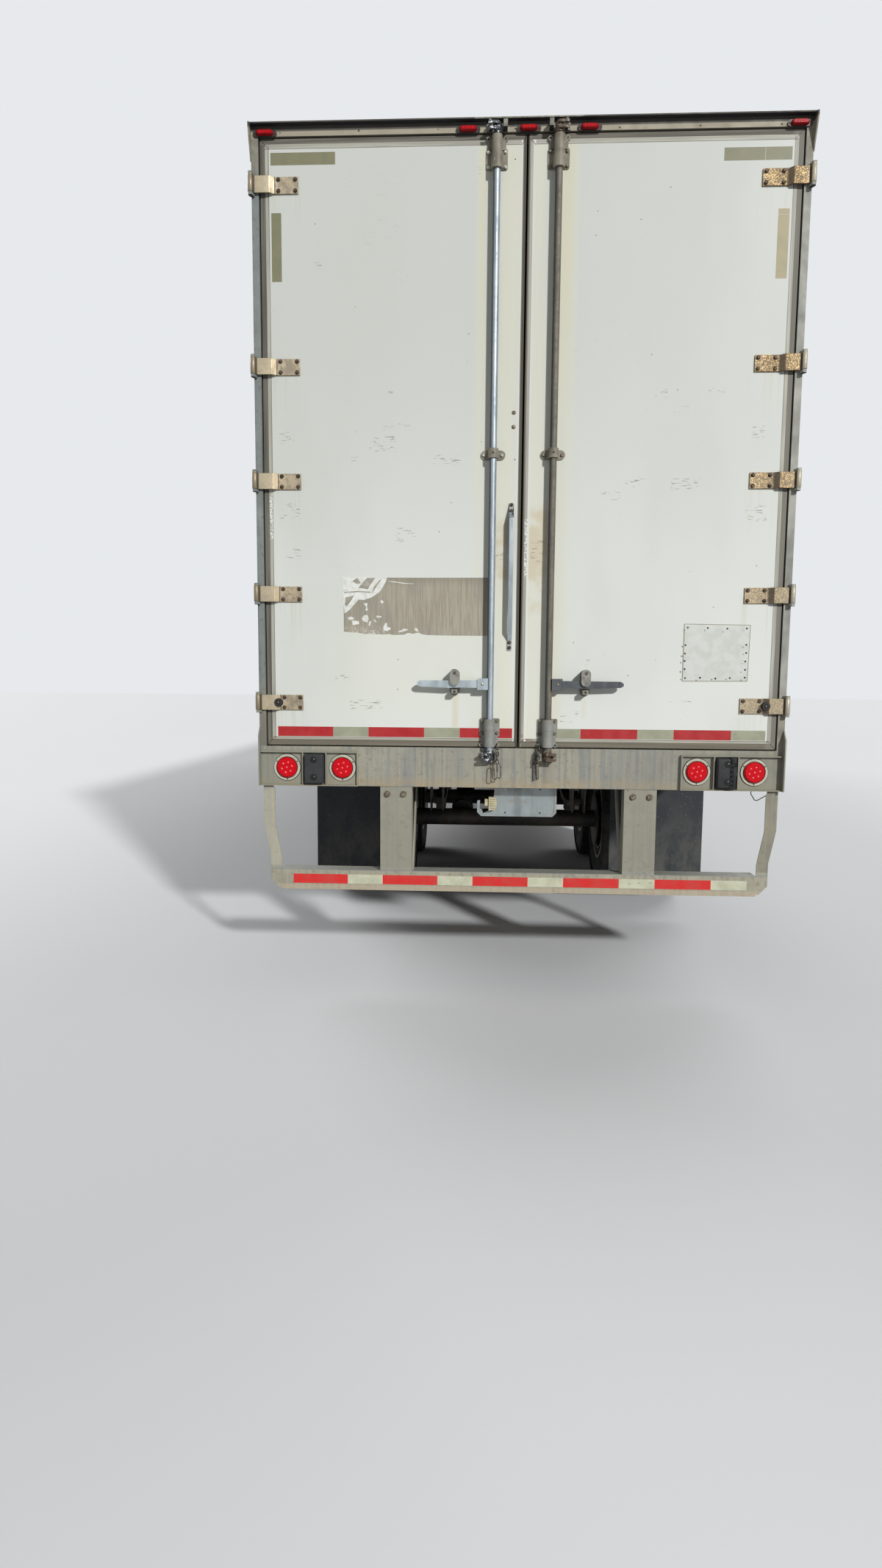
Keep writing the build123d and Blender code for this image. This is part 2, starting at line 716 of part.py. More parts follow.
FLAP_Y = ahead(1500)
BOGIE_SPAN = (FLAP_Y - 60, REAR_AXLE_Y + AXLE_SPREAD + 760)
BOGIE_UNDER = 870
BOGIE_TOP = SLIDER_UNDER - 1
TANDEM_MIDDLE = REAR_AXLE_Y + AXLE_SPREAD / 2
HANGER_FEET = (TANDEM_MIDDLE - 1215, TANDEM_MIDDLE, TANDEM_MIDDLE + 1215)
with BuildPart() as bogie_frame:
    for name, side in SIDES:
        section = [
            (445, BOGIE_UNDER),
            (535, BOGIE_UNDER),
            (535, BOGIE_UNDER + 10),
            (455, BOGIE_UNDER + 10),
            (455, BOGIE_TOP - 10),
            (535, BOGIE_TOP - 10),
            (535, BOGIE_TOP),
            (445, BOGIE_TOP),
        ]
        along(flip(section, side), *BOGIE_SPAN)
        for y in HANGER_FEET:
            hanger = [
                (y - 150, BOGIE_UNDER),
                (y - 70, 640),
                (y + 70, 640),
                (y + 150, BOGIE_UNDER),
            ]
            for x in (445, 527):
                ends = sorted((side * x, side * (x + 8)))
                across(hanger, *ends)
    for y in HANGER_FEET:
        across(rect(y - 45, y + 45, BOGIE_UNDER + 6, BOGIE_TOP - 6), -455, 455)
    for name, side in SIDES:
        ends = sorted((side * 450, side * 1280))
        across(rect(FLAP_Y - 46, FLAP_Y - 4, 955, 995), *ends)
keep(bogie_frame.part, "bogie_frame")

# Leaf springs, arched between the hangers, with seats on the axles
AXLES = (("rear", REAR_AXLE_Y), ("front", REAR_AXLE_Y + AXLE_SPREAD))
SPRING_HALF = 545
SPRING_THICK = 42
with BuildPart() as springs:
    for axle, y in AXLES:
        for name, side in SIDES:
            with BuildSketch(Plane.YZ.offset(side * SPRING_X - 35)) as leaf:
                with BuildLine():
                    low = ThreePointArc((y - SPRING_HALF, 700), (y, 618), (y + SPRING_HALF, 700))
                    crown = (y, 618 + SPRING_THICK)
                    high = ThreePointArc((y - SPRING_HALF, 720), crown, (y + SPRING_HALF, 720))
                    Line(low @ 0, high @ 0)
                    Line(low @ 1, high @ 1)
                make_face()
            extrude(leaf.sketch, amount=70)
            seat = rect(y - 75, y + 75, AXLE_Z + 66, 622)
            across(seat, side * SPRING_X - 35, side * SPRING_X + 35)
keep(springs.part, "springs")

# Axle beams with spindles and brake backing plates
AXLE_TUBE_R = 64
SPINDLE_R = 45
with BuildPart() as axles:
    for axle, y in AXLES:
        rod_along_x(-700, 700, y, AXLE_Z, AXLE_TUBE_R)
        rod_along_x(-DUAL_MIDDLE - 130, DUAL_MIDDLE + 130, y, AXLE_Z, SPINDLE_R)
        for name, side in SIDES:
            ends = sorted((side * 682, side * 692))
            rod_along_x(*ends, y, AXLE_Z, 200)
keep(axles.part, "axles")

# Brake chambers on brackets ahead of each axle, with their cam tubes
CHAMBER_X = 330
CHAMBER_Z = AXLE_Z + 40
CHAMBER_R = 70
CAM_TUBE_R = 22
with BuildPart() as brake_chambers:
    for axle, y in AXLES:
        for name, side in SIDES:
            x = side * CHAMBER_X
            rod_along_y(x, y + 150, y + 240, CHAMBER_Z, CHAMBER_R)
            rod_along_y(x, y + 240, y + 254, CHAMBER_Z, CHAMBER_R + 14)
            rod_along_y(x, y + 254, y + 370, CHAMBER_Z, CHAMBER_R)
            across(rect(y + 84, y + 150, AXLE_Z - 20, AXLE_Z + 60), x - 8, x + 8)
            ends = sorted((side * 300, side * 680))
            rod_along_x(*ends, y + 100, AXLE_Z, CAM_TUBE_R)
keep(brake_chambers.part, "brake_chambers")

# Air tank slung under the beams ahead of the bogie
TANK_Y = ahead(5650)
TANK_Z = 940
TANK_R = 120
with BuildPart() as air_tank:
    dome = [
        (-380, 0),
        (-372, 70),
        (-340, TANK_R),
        (340, TANK_R),
        (372, 70),
        (380, 0),
    ]
    lathe(dome, TANK_Y, TANK_Z)
    for x in (-200, 200):
        across(rect(TANK_Y - 20, TANK_Y + 20, TANK_Z + 100, BEAM_UNDER), x - 20, x + 20)
keep(air_tank.part, "air_tank")

# Landing legs with sand shoes and braces, and the gearbox, cross shaft and crank
SHOE_HALF = 127
with BuildPart() as landing_legs:
    for name, side in SIDES:
        x = side * LEG_X
        upright(rect(x - SHOE_HALF, x + SHOE_HALF, LEG_Y - SHOE_HALF, LEG_Y + SHOE_HALF), 0, 12)
        with BuildSketch(Plane.XY.offset(12)) as shoe:
            with Locations((x, LEG_Y)):
                Rectangle(2 * SHOE_HALF, 2 * SHOE_HALF)
        with BuildSketch(Plane.XY.offset(70)) as ankle:
            with Locations((x, LEG_Y)):
                Rectangle(100, 100)
        loft([shoe.sketch.face(), ankle.sketch.face()])
        upright(rect(x - 45, x + 45, LEG_Y - 45, LEG_Y + 45), 70, 420)
        upright(rect(x - 55, x + 55, LEG_Y - 55, LEG_Y + 55), 380, BEAM_UNDER)
        brace = [
            (LEG_Y - 40, 560),
            (LEG_Y - 40, 620),
            (LEG_Y - 640, BEAM_UNDER),
            (LEG_Y - 700, BEAM_UNDER),
        ]
        across(brace, x - 25, x + 25)
    along(rect(-LEG_X, LEG_X, 640, 700), LEG_Y - 15, LEG_Y + 15)
keep(landing_legs.part, "landing_legs")

with BuildPart() as landing_crank:
    rod_along_x(-LEG_X + 55, LEG_X - 55, LEG_Y, SHAFT_Z, 16)
    across(rect(LEG_Y - 70, LEG_Y + 70, SHAFT_Z - 90, SHAFT_Z + 70), -LEG_X - 125, -LEG_X - 55)
    rod_along_x(-1200, -LEG_X - 125, LEG_Y, SHAFT_Z - 30, 13)
    across(rect(LEG_Y - 14, LEG_Y + 14, 540, 814), -1212, -1200)
    rod_along_x(-1290, -1212, LEG_Y, 556, 12)
keep(landing_crank.part, "landing_crank")

# Mud flaps behind the tyres, hung on the bogie frame's rear arms
with BuildPart() as mud_flaps:
    for name, side in SIDES:
        across(rect(FLAP_Y - 4, FLAP_Y + 4, 290, 995), side * 675, side * 1285)
keep(mud_flaps.part, "mud_flaps")

# Air couplings and the lamp socket on the nose
NOSE_Z = 1460
with BuildPart() as couplings:
    along(rect(-260, 260, NOSE_Z - 70, NOSE_Z + 70), NOSE - SKIN, NOSE + 4)
    for x in (-180, 180):
        rod_along_y(x, NOSE + 4, NOSE + 34, NOSE_Z, 24)
        rod_along_y(x, NOSE + 34, NOSE + COUPLING_REACH, NOSE_Z, 34)
        along(rect(x - 18, x + 18, NOSE_Z - 62, NOSE_Z), NOSE + 34, NOSE + 50)
    rod_along_y(0, NOSE + 4, NOSE + 48, NOSE_Z, 30)
    rod_along_y(0, NOSE + 8, NOSE + 48, NOSE_Z, 24, Mode.SUBTRACT)
keep(couplings.part, "nose_couplings")


# Doors
DOOR_EDGES = {
    "left": {"free": -18, "panel_free": -29, "seal_free": -7.5},
    "right": {"free": 12, "panel_free": 34, "seal_free": 1.5},
}


def ring(x_out, z_out, x_in, z_in, y0, y1):
    """A rectangular frame between two rectangles, given as (low, high) spans."""
    along(rect(*x_out, *z_out), y0, y1)
    along(rect(*x_in, *z_in), y0, y1, Mode.SUBTRACT)


BEARING_Y = (ahead(DOOR_FACE_Y - 6), ahead(DOOR_FACE_Y))
EAR_Y = (ahead(-4), ahead(2))


def sleeve(x, stages, web_z):
    """A rod bearing's stepped sleeve on its web, bored for the rod. stages are (z0, z1, radius), upward."""
    upright(rect(x - 20, x + 20, ahead(ROD_Y), BEARING_Y[0]), *web_z)
    for z0, z1, radius in stages:
        rod_along_z(x, ahead(ROD_Y), z0, z1, radius)
    rod_along_z(x, ahead(ROD_Y), stages[0][0], stages[-1][1], ROD_R + 0.5, Mode.SUBTRACT)


def end_bearing(x, flange_end, way, stages, web_z):
    """A cast bearing at a rod's end: a bolted flange, a step out over the seal, and two eared holes."""
    with BuildSketch(Plane.XZ.offset(-BEARING_Y[1])) as flange:
        with Locations((x, flange_end + way * 45)):
            RectangleRounded(100, 90, 8)
    extrude(flange.sketch, amount=6)
    riser = sorted((flange_end + way * 84, flange_end + way * 90))
    along(rect(x - 42, x + 42, *riser), EAR_Y[0], BEARING_Y[0])
    with BuildSketch(Plane.XZ.offset(-EAR_Y[1])) as ears:
        with Locations((x, flange_end + way * 110)):
            Rectangle(84, 48)
        with Locations((x - 40, flange_end + way * 132), (x + 40, flange_end + way * 132)):
            Circle(11)
        with Locations((x - 40, flange_end + way * 132), (x + 40, flange_end + way * 132)):
            Circle(5, mode=Mode.SUBTRACT)
    extrude(ears.sketch, amount=6)
    sleeve(x, stages, web_z)


def rod_cam(x, side, z0, z1):
    """The forged cam on a rod's end, with two fingers that reach outward past the keeper."""
    finger = [
        (-13, -40),
        (-13, -48),
        (-5, -58),
        (30, -60),
        (42, -57),
        (42, -52),
        (16, -51),
        (13, -40),
    ]
    shape = [(x + side * dx, ahead(y)) for dx, y in finger]
    third = (z1 - z0) / 3
    upright(shape, z0, z0 + third)
    upright(shape, z1 - third, z1)


for name, side in SIDES:
    edge = DOOR_EDGES[name]
    rod_x = ROD_X[name]
    face_y = ahead(DOOR_FACE_Y)
    back_y = ahead(DOOR_FACE_Y + DOOR_THICK)
    panel_x = sorted((edge["panel_free"], side * PANEL_OUTER))
    door_x = sorted((edge["free"], side * DOOR_OUTER))
    seal_x = sorted((edge["seal_free"], side * SEAL_OUTER))

    with BuildPart() as panel:
        along(rect(*panel_x, PANEL_UNDER, PANEL_TOP), face_y, back_y)
    keep(panel.part, f"door_{name}_panel")

    with BuildPart() as trim:
        ring(door_x, (DOOR_UNDER, DOOR_TOP), panel_x, (PANEL_UNDER, PANEL_TOP), face_y, back_y)
    keep(trim.part, f"door_{name}_frame")

    with BuildPart() as seal:
        seal_y = [ahead(y) for y in SEAL_Y]
        ring(seal_x, (SEAL_UNDER, SEAL_TOP), door_x, (DOOR_UNDER, DOOR_TOP), *seal_y)
    keep(seal.part, f"door_{name}_seal")

    with BuildPart() as hinges:
        strap = [
            (PIN_X, ahead(-16)),
            (1244, ahead(-16)),
            (1219, ahead(DOOR_FACE_Y - 8)),
            (STRAP_END, ahead(DOOR_FACE_Y - 8)),
            (STRAP_END, face_y),
            (1222, face_y),
            (1247, ahead(-8)),
            (PIN_X, ahead(-8)),
        ]
        for z in HINGE_Z:
            low, high = z - HINGE_HEIGHT / 2, z + HINGE_HEIGHT / 2
            upright(flip(strap, side), low, high)
            rod_along_z(side * PIN_X, ahead(PIN_Y), low, high, BARREL_R)
            rod_along_z(side * PIN_X, ahead(PIN_Y), low, high, PIN_R + 0.4, Mode.SUBTRACT)
        rod_along_y(side * STUD_X, ahead(-24), ahead(DOOR_FACE_Y - 8), HINGE_Z[0], 20)
    keep(hinges.part, f"door_{name}_hinges")

    with BuildPart() as rod:
        rod_along_z(rod_x, ahead(ROD_Y), *ROD_Z, ROD_R)
        rod_along_z(rod_x, ahead(ROD_Y), 1150, 1208, 21.5)
        rod_along_z(rod_x, ahead(ROD_Y), 4040, 4080, 21.5)
        rod_cam(rod_x, side, 1148, 1188)
        rod_cam(rod_x, side, 4048, 4084)
    keep(rod.part, f"door_{name}_rod")

    with BuildPart() as brackets:
        end_bearing(rod_x, 1357, -1, [(1216, 1299, 27), (1299, 1309, 29), (1309, 1352, 27)], (1248, 1340))
        end_bearing(rod_x, 3901, 1, [(3890, 3941, 27), (3941, 4034, 24)], (3901, 4026))
        with BuildSketch(Plane.XZ.offset(-face_y)) as flange:
            with Locations((rod_x, 2619)):
                SlotOverall(118, 44)
        extrude(flange.sketch, amount=6)
        sleeve(rod_x, [(2597, 2641, 25)], (2602, 2636))
        catch_x = side * CATCH_X
        with BuildSketch(Plane.XZ.offset(-face_y)) as catch_plate:
            with Locations((catch_x, HANDLE_Z + 8)):
                SlotOverall(130, 50, rotation=90)
        extrude(catch_plate.sketch, amount=6)
        for half, low, high in ((14, HANDLE_Z - 47, HANDLE_Z - 27), (18, HANDLE_Z + 27, HANDLE_Z + 65)):
            along(rect(catch_x - half, catch_x + half, low, high), ahead(-52), BEARING_Y[0])
        with BuildSketch(Plane.XZ.offset(-ahead(-52))) as catch_cover:
            with Locations((catch_x, HANDLE_Z + 32)):
                SlotOverall(82, 46, rotation=90)
        extrude(catch_cover.sketch, amount=8)
    keep(brackets.part, f"door_{name}_brackets")

    with BuildPart() as handle:
        grip = [
            (185, HANDLE_Z - 18),
            (330, HANDLE_Z - 18),
            (345, HANDLE_Z - 20),
            (490, HANDLE_Z - 14),
            (504, HANDLE_Z - 6),
            (504, HANDLE_Z + 6),
            (490, HANDLE_Z + 16),
            (185, HANDLE_Z + 18),
        ]
        along(flip(grip, side), ahead(-46), ahead(-34))
        along(flip(rect(156, 207, HANDLE_Z - 28, HANDLE_Z + 28), side), ahead(-52), ahead(-8))
        rod_along_z(rod_x, ahead(ROD_Y), HANDLE_Z - 35, HANDLE_Z + 35, ROD_R + 0.5, Mode.SUBTRACT)
    keep(handle.part, f"door_{name}_handle")

# Grab handle on the left door
GRAB_X = -57
with BuildPart() as grab_handle:
    for z in GRAB_Z:
        along(rect(GRAB_X - 13, GRAB_X + 13, z - 22, z + 22), ahead(DOOR_FACE_Y - 6), ahead(DOOR_FACE_Y))
        along(rect(GRAB_X - 7, GRAB_X + 7, z - 12, z + 12), ahead(-30), ahead(DOOR_FACE_Y - 6))
    along(rect(GRAB_X - 7, GRAB_X + 7, GRAB_Z[0] - 12, GRAB_Z[1] + 12), ahead(-38), ahead(-30))
keep(grab_handle.part, "grab_handle")


# Twin wheels at each axle end: distances are out from the face where the two discs meet
HUB = [
    (-180, 46),
    (-180, 90),
    (-26, 90),
    (-26, 212),
    (-270, 212),
    (-270, 230),
    (-12, 230),
    (-12, 109),
    (22, 109),
    (22, 88),
    (120, 86),
    (160, 68),
    (160, 0),
    (142, 0),
    (142, 46),
]
RIM = [
    (50, 302),
    (57, 289),
    (269, 289),
    (276, 302),
    (276, 279),
    (64, 279),
    (12, 242),
    (12, 112),
    (0, 112),
    (0, 249),
    (50, 283),
]
TYRE_HALF = 128
TYRE_BORE_R = 303
BORE_SIDES = 48
HAND_HOLE_COUNT = 5
HAND_HOLE_CIRCLE = 203
HAND_HOLE_R = 27

for axle, y in AXLES:
    for name, side in SIDES:
        with BuildPart() as tyres:
            for offset in (-DUAL_HALF, DUAL_HALF):
                with BuildSketch(Plane.YZ.offset(side * DUAL_MIDDLE + offset - TYRE_HALF)) as section:
                    with Locations((y, AXLE_Z)):
                        Circle(TYRE_R)
                        RegularPolygon(TYRE_BORE_R, BORE_SIDES, major_radius=False, mode=Mode.SUBTRACT)
                extrude(section.sketch, amount=2 * TYRE_HALF)
        keep(tyres.part, f"tyres_{axle}_{name}")

        with BuildPart() as rims:
            for way in (-1, 1):
                lathe([(side * (DUAL_MIDDLE + way * d), r) for d, r in RIM], y, AXLE_Z)
            with BuildSketch(Plane.YZ.offset(side * DUAL_MIDDLE - 13)) as hand_holes:
                with Locations((y, AXLE_Z)):
                    with PolarLocations(HAND_HOLE_CIRCLE, HAND_HOLE_COUNT):
                        Circle(HAND_HOLE_R)
            extrude(hand_holes.sketch, amount=26, mode=Mode.SUBTRACT)
        keep(rims.part, f"rims_{axle}_{name}")

        with BuildPart() as hub:
            lathe([(side * (DUAL_MIDDLE + d), r) for d, r in HUB], y, AXLE_Z)
        keep(hub.part, f"hub_{axle}_{name}")
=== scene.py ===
"""A 53 ft dry-van semi trailer, parked on its landing legs in a plain pale studio, seen from behind."""
import math
import random

import bmesh
import bpy
from mathutils import Matrix, Vector


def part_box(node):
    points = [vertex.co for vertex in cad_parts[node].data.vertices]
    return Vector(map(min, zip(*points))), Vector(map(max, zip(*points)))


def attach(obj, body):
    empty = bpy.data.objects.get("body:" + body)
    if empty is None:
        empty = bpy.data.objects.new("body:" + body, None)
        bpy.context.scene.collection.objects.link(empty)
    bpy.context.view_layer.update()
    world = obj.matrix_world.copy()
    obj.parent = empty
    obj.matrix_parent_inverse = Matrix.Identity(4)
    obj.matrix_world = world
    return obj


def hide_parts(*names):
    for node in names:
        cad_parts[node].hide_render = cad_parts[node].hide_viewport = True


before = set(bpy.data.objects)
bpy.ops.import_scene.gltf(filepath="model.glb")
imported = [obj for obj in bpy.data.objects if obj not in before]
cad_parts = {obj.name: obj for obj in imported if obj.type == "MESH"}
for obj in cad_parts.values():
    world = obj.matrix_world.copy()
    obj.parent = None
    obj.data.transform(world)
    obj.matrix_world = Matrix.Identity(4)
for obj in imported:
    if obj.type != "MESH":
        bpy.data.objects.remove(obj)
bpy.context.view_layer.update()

# Lengths are written in millimetres, with Y counted forward from the rear frame's face, and become metres in place()
MM = 0.001
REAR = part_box("lamp_rings")[1].y
SIDES = (("left", -1), ("right", 1))
RANDOM = random.Random(53)


def place(x, y, z):
    """A point in the frame, in metres."""
    return Vector((x * MM, REAR + y * MM, z * MM))


def span(node):
    """A node's box in millimetres, as ((x0, x1), (y0, y1), (z0, z1))."""
    low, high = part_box(node)
    shift = Vector((0, REAR, 0))
    low, high = (low - shift) / MM, (high - shift) / MM
    return tuple(zip(low, high))


NOSE = span("front_wall")[1][1] + 5
DOOR_FACE = span("door_left_panel")[1][0]
AXLE_Z = 505
AXLES = {axle: sum(span(f"hub_{axle}_left")[1]) / 2 for axle in ("rear", "front")}
HINGE_Z = (1427, 1959, 2498, 3032, 3850)
ROD_X = {"left": -145, "right": 141}


# Procedural materials


def tone(red, green, blue):
    """A colour as a screen shows it, 0 to 255, turned into scene light."""
    shown = (red / 255, green / 255, blue / 255)
    return (*(c / 12.92 if c <= 0.04045 else ((c + 0.055) / 1.055) ** 2.4 for c in shown), 1.0)


class Nodes:
    """A node tree under construction. Inputs are sockets or plain values."""

    def __init__(self, tree):
        self.tree = tree

    def node(self, kind, inputs=None, **settings):
        made = self.tree.nodes.new(kind)
        for key, value in settings.items():
            setattr(made, key, value)
        for socket, value in (inputs or {}).items():
            self.feed(made.inputs[socket], value)
        return made

    def feed(self, socket, value):
        if isinstance(value, bpy.types.NodeSocket):
            self.tree.links.new(value, socket)
        else:
            socket.default_value = value

    def math(self, operation, a, b=0.0):
        return self.node("ShaderNodeMath", {0: a, 1: b}, operation=operation).outputs[0]

    def times(self, *factors):
        product = factors[0]
        for factor in factors[1:]:
            product = self.math("MULTIPLY", product, factor)
        return product

    def most(self, *values):
        largest = values[0]
        for value in values[1:]:
            largest = self.math("MAXIMUM", largest, value)
        return largest

    def above(self, a, b):
        return self.math("GREATER_THAN", a, b)

    def below(self, a, b):
        return self.math("LESS_THAN", a, b)

    def ramp(self, value, start, end, low=0.0, high=1.0):
        """low before start, high after end, and a smooth rise between them."""
        inputs = {"Value": value, "From Min": start, "From Max": end, "To Min": low, "To Max": high}
        return self.node("ShaderNodeMapRange", inputs, interpolation_type="SMOOTHSTEP").outputs[0]

    def shown(self):
        """1 where a ray shows a surface, 0 where it only brings light to another one."""
        rays = self.node("ShaderNodeLightPath").outputs
        return self.most(*(rays[f"Is {kind} Ray"] for kind in ("Camera", "Glossy", "Transmission")))


class Finish(Nodes):
    """A node material. Its patterns lie in the object's own coordinates, which are the frame's, in metres."""

    def __init__(self, name, rough=0.5, metal=0.0, coat=0.0, specular=0.5):
        self.name = name
        self.material = bpy.data.materials.new(name)
        self.material.use_nodes = True
        super().__init__(self.material.node_tree)
        self.shader = self.tree.nodes["Principled BSDF"]
        settings = {"Roughness": rough, "Metallic": metal, "Coat Weight": coat, "Specular IOR Level": specular}
        for socket, value in settings.items():
            self.shader.inputs[socket].default_value = value
        self.place = self.node("ShaderNodeTexCoord").outputs["Object"]
        self.x, self.y, self.z = self.node("ShaderNodeSeparateXYZ", {0: self.place}).outputs

    @property
    def out(self):
        """The distance from the trailer's middle, the same on both sides."""
        return self.math("ABSOLUTE", self.x)

    def mix(self, share, first, second):
        """A blend of two colours, each a socket or its red, green and blue from 0 to 255."""
        made = self.node("ShaderNodeMix", {0: share}, data_type="RGBA")
        for socket, colour in ((6, first), (7, second)):
            plain = isinstance(colour, tuple) and len(colour) == 3
            self.feed(made.inputs[socket], tone(*colour) if plain else colour)
        return made.outputs[2]

    def base(self, share, first, second):
        """Start the surface's colour."""
        self.colour = self.mix(share, first, second)
        self.feed(self.shader.inputs["Base Color"], self.colour)

    def over(self, mask, colour, share=None):
        """Lay a colour over the surface where mask is 1, or only a share of it."""
        self.base(mask if share is None else self.times(mask, share), self.colour, colour)

    def stretched(self, stretch, shift=0.0):
        inputs = {"Vector": self.place, "Scale": stretch, "Location": (shift, shift, shift)}
        return self.node("ShaderNodeMapping", inputs).outputs[0]

    def noise(self, stretch, detail=3.0, rough=0.55, shift=0.0):
        """Cloudy noise. stretch is its cells for each metre along X, Y and Z."""
        stretch = stretch if isinstance(stretch, tuple) else (stretch,) * 3
        inputs = {"Vector": self.stretched(stretch, shift), "Scale": 1.0, "Detail": detail, "Roughness": rough}
        return self.node("ShaderNodeTexNoise", inputs).outputs[0]

    def cells(self, per_metre):
        """How far a point is from the middle of its cell."""
        place = self.stretched((per_metre,) * 3)
        return self.node("ShaderNodeTexVoronoi", {"Vector": place, "Scale": 1.0}).outputs["Distance"]

    def specks(self, per_metre, share, size, shift=0.0):
        """Small dots on a share of the cells of a random grid, each up to size of a cell across."""
        place = self.stretched((per_metre,) * 3, shift)
        made = self.node("ShaderNodeTexVoronoi", {"Vector": place, "Scale": 1.0})
        red, green, _ = self.node("ShaderNodeSeparateColor", {0: made.outputs["Color"]}).outputs
        chosen = self.above(red, 1 - share)
        return self.times(chosen, self.below(made.outputs["Distance"], self.times(green, size)))

    def near(self, value, middle, half, soft):
        """1 within half of the middle, fading to 0 over soft."""
        apart = self.math("ABSOLUTE", self.math("SUBTRACT", value, middle))
        return self.ramp(apart, half, half + soft, 1.0, 0.0)

    def patch(self, x, z, half_x, half_z, soft):
        """A soft-edged rectangle on a face across Y, in millimetres."""
        across = self.near(self.x, x * MM, half_x * MM, soft * MM)
        return self.times(across, self.near(self.z, z * MM, half_z * MM, soft * MM))

    def disc(self, across, z, radius, soft):
        """A soft-edged disc on a face across Y, at the same distance on both sides, in millimetres."""
        dx = self.math("SUBTRACT", self.out, across * MM)
        dz = self.math("SUBTRACT", self.z, z * MM)
        away = self.math("SQRT", self.math("ADD", self.times(dx, dx), self.times(dz, dz)))
        return self.ramp(away, radius * MM, (radius + soft) * MM, 1.0, 0.0)

    def facing(self, axis):
        """The part of the face's direction along an axis, 0 to 2, from -1 to 1."""
        normal = self.node("ShaderNodeNewGeometry").outputs["True Normal"]
        return self.node("ShaderNodeSeparateXYZ", {0: normal}).outputs[axis]

    def gloss(self, value):
        self.feed(self.shader.inputs["Roughness"], value)
        return self

    def bump(self, height, depth, strength=1.0):
        """Relief of a depth in metres, added to any that is there."""
        made = self.node("ShaderNodeBump", {"Height": height, "Distance": depth, "Strength": strength})
        before = self.shader.inputs["Normal"].links
        if before:
            self.feed(made.inputs["Normal"], before[0].from_socket)
        self.feed(self.shader.inputs["Normal"], made.outputs[0])
        return self


def vertical(fin, fine=16.0, long=0.6, shift=0.0):
    """Noise drawn out into runs down the surface."""
    return fin.noise((fine, fine, long), 4, 0.6, shift)


# Scuffs on the doors: x, z, half width, half height, in millimetres
SCUFFS = (
    (-233, 3902, 8, 9), (-984, 3497, 14, 12), (-646, 2912, 14, 6), (-612, 2756, 62, 9), (-680, 2674, 60, 34),
    (-809, 2606, 16, 8), (-367, 2602, 62, 15), (-588, 2244, 24, 30), (-538, 2249, 20, 22), (-1151, 2707, 34, 22),
    (-1132, 2361, 46, 38), (-1120, 2159, 34, 20), (-108, 2146, 16, 14), (-760, 1419, 78, 18), (-882, 1548, 34, 14),
    (649, 2903, 22, 14), (906, 2914, 34, 4), (421, 2430, 40, 14), (778, 2485, 64, 22), (1117, 2344, 44, 34),
    (820, 2082, 10, 5), (1110, 2722, 24, 26), (77, 2168, 30, 46), (519, 2500, 60, 14), (746, 2825, 30, 14),
    (344, 1630, 26, 12), (787, 1454, 50, 6), (247, 1370, 40, 24),
)


def door_white():
    """White laminate: darker towards the top, cream beside the lock rods, specked and scuffed."""
    fin = Finish("door_white", rough=0.45, specular=0.35)
    cloud = fin.noise((1.1, 1.1, 0.45), 3)
    fin.base(fin.ramp(fin.z, 1.3, 3.4), (226, 229, 222), (205, 208, 201))
    fin.over(fin.ramp(cloud, 0.42, 0.68, 0, 0.55), (200, 204, 196))
    runs = vertical(fin, 22, 0.5)
    cream = fin.times(fin.near(fin.x, 0.0, 0.205, 0.05), fin.ramp(runs, 0.30, 0.62, 0.25, 0.95))
    cream = fin.most(cream, fin.times(fin.patch(-448, 1649, 330, 120, 260), 0.4))
    fin.over(cream, (226, 222, 192), 0.45)
    band = fin.near(fin.out, 0.195, 0.016, 0.02)
    band = fin.times(band, fin.ramp(fin.z, 2.6, 3.7), fin.ramp(runs, 0.38, 0.6, 0.3, 1.0))
    fin.over(band, (212, 205, 164), 0.38)
    handled = fin.most(fin.patch(77, 2126, 34, 220, 60), fin.patch(-100, 2175, 22, 170, 60))
    handled = fin.times(handled, fin.ramp(fin.noise(9, 4), 0.36, 0.62))
    fin.over(handled, (203, 186, 150), 0.6)
    under_hinge = fin.most(*(
        fin.times(fin.ramp(fin.z, (z - 300) * MM, (z - 40) * MM), fin.below(fin.z, z * MM)) for z in HINGE_Z
    ))
    strip = fin.near(fin.out, 1.131, 0.062, 0.03)
    strip = fin.times(strip, under_hinge, fin.ramp(vertical(fin, 60, 0.8, 5.0), 0.47, 0.66))
    fin.over(strip, (186, 178, 150), 0.22)
    rust = fin.times(fin.patch(-316, 1400, 6, 80, 18), fin.ramp(vertical(fin, 40, 1.5, 3.0), 0.3, 0.6, 0.5, 1.0))
    rust = fin.most(rust, fin.times(fin.patch(318, 1406, 5, 40, 14), 0.5))
    fin.over(rust, (210, 192, 144), 0.35)
    scratch = fin.ramp(fin.noise((26, 26, 190), 3, 0.5, 9.0), 0.585, 0.635)
    marks = fin.times(fin.most(*(fin.patch(*scuff, 10) for scuff in SCUFFS)), scratch)
    lone = fin.ramp(fin.noise((14, 14, 240), 2, 0.5), 0.64, 0.7)
    far = fin.times(fin.ramp(fin.noise(2.2, 2, 0.5, 30.0), 0.60, 0.74), lone)
    dots = fin.most(fin.specks(15, 0.20, 0.062), fin.times(fin.specks(34, 0.10, 0.1, 4.0), 0.6))
    marks = fin.most(marks, fin.times(far, 0.35), fin.times(dots, 0.8))
    fin.over(marks, (96, 92, 82), 0.6)
    fin.gloss(fin.ramp(cloud, 0.3, 0.7, 0.4, 0.56))
    fin.bump(fin.noise((7, 7, 1.2), 2), 0.002, 0.35)
    return fin.bump(fin.noise(260, 2), 0.0002, 0.25)


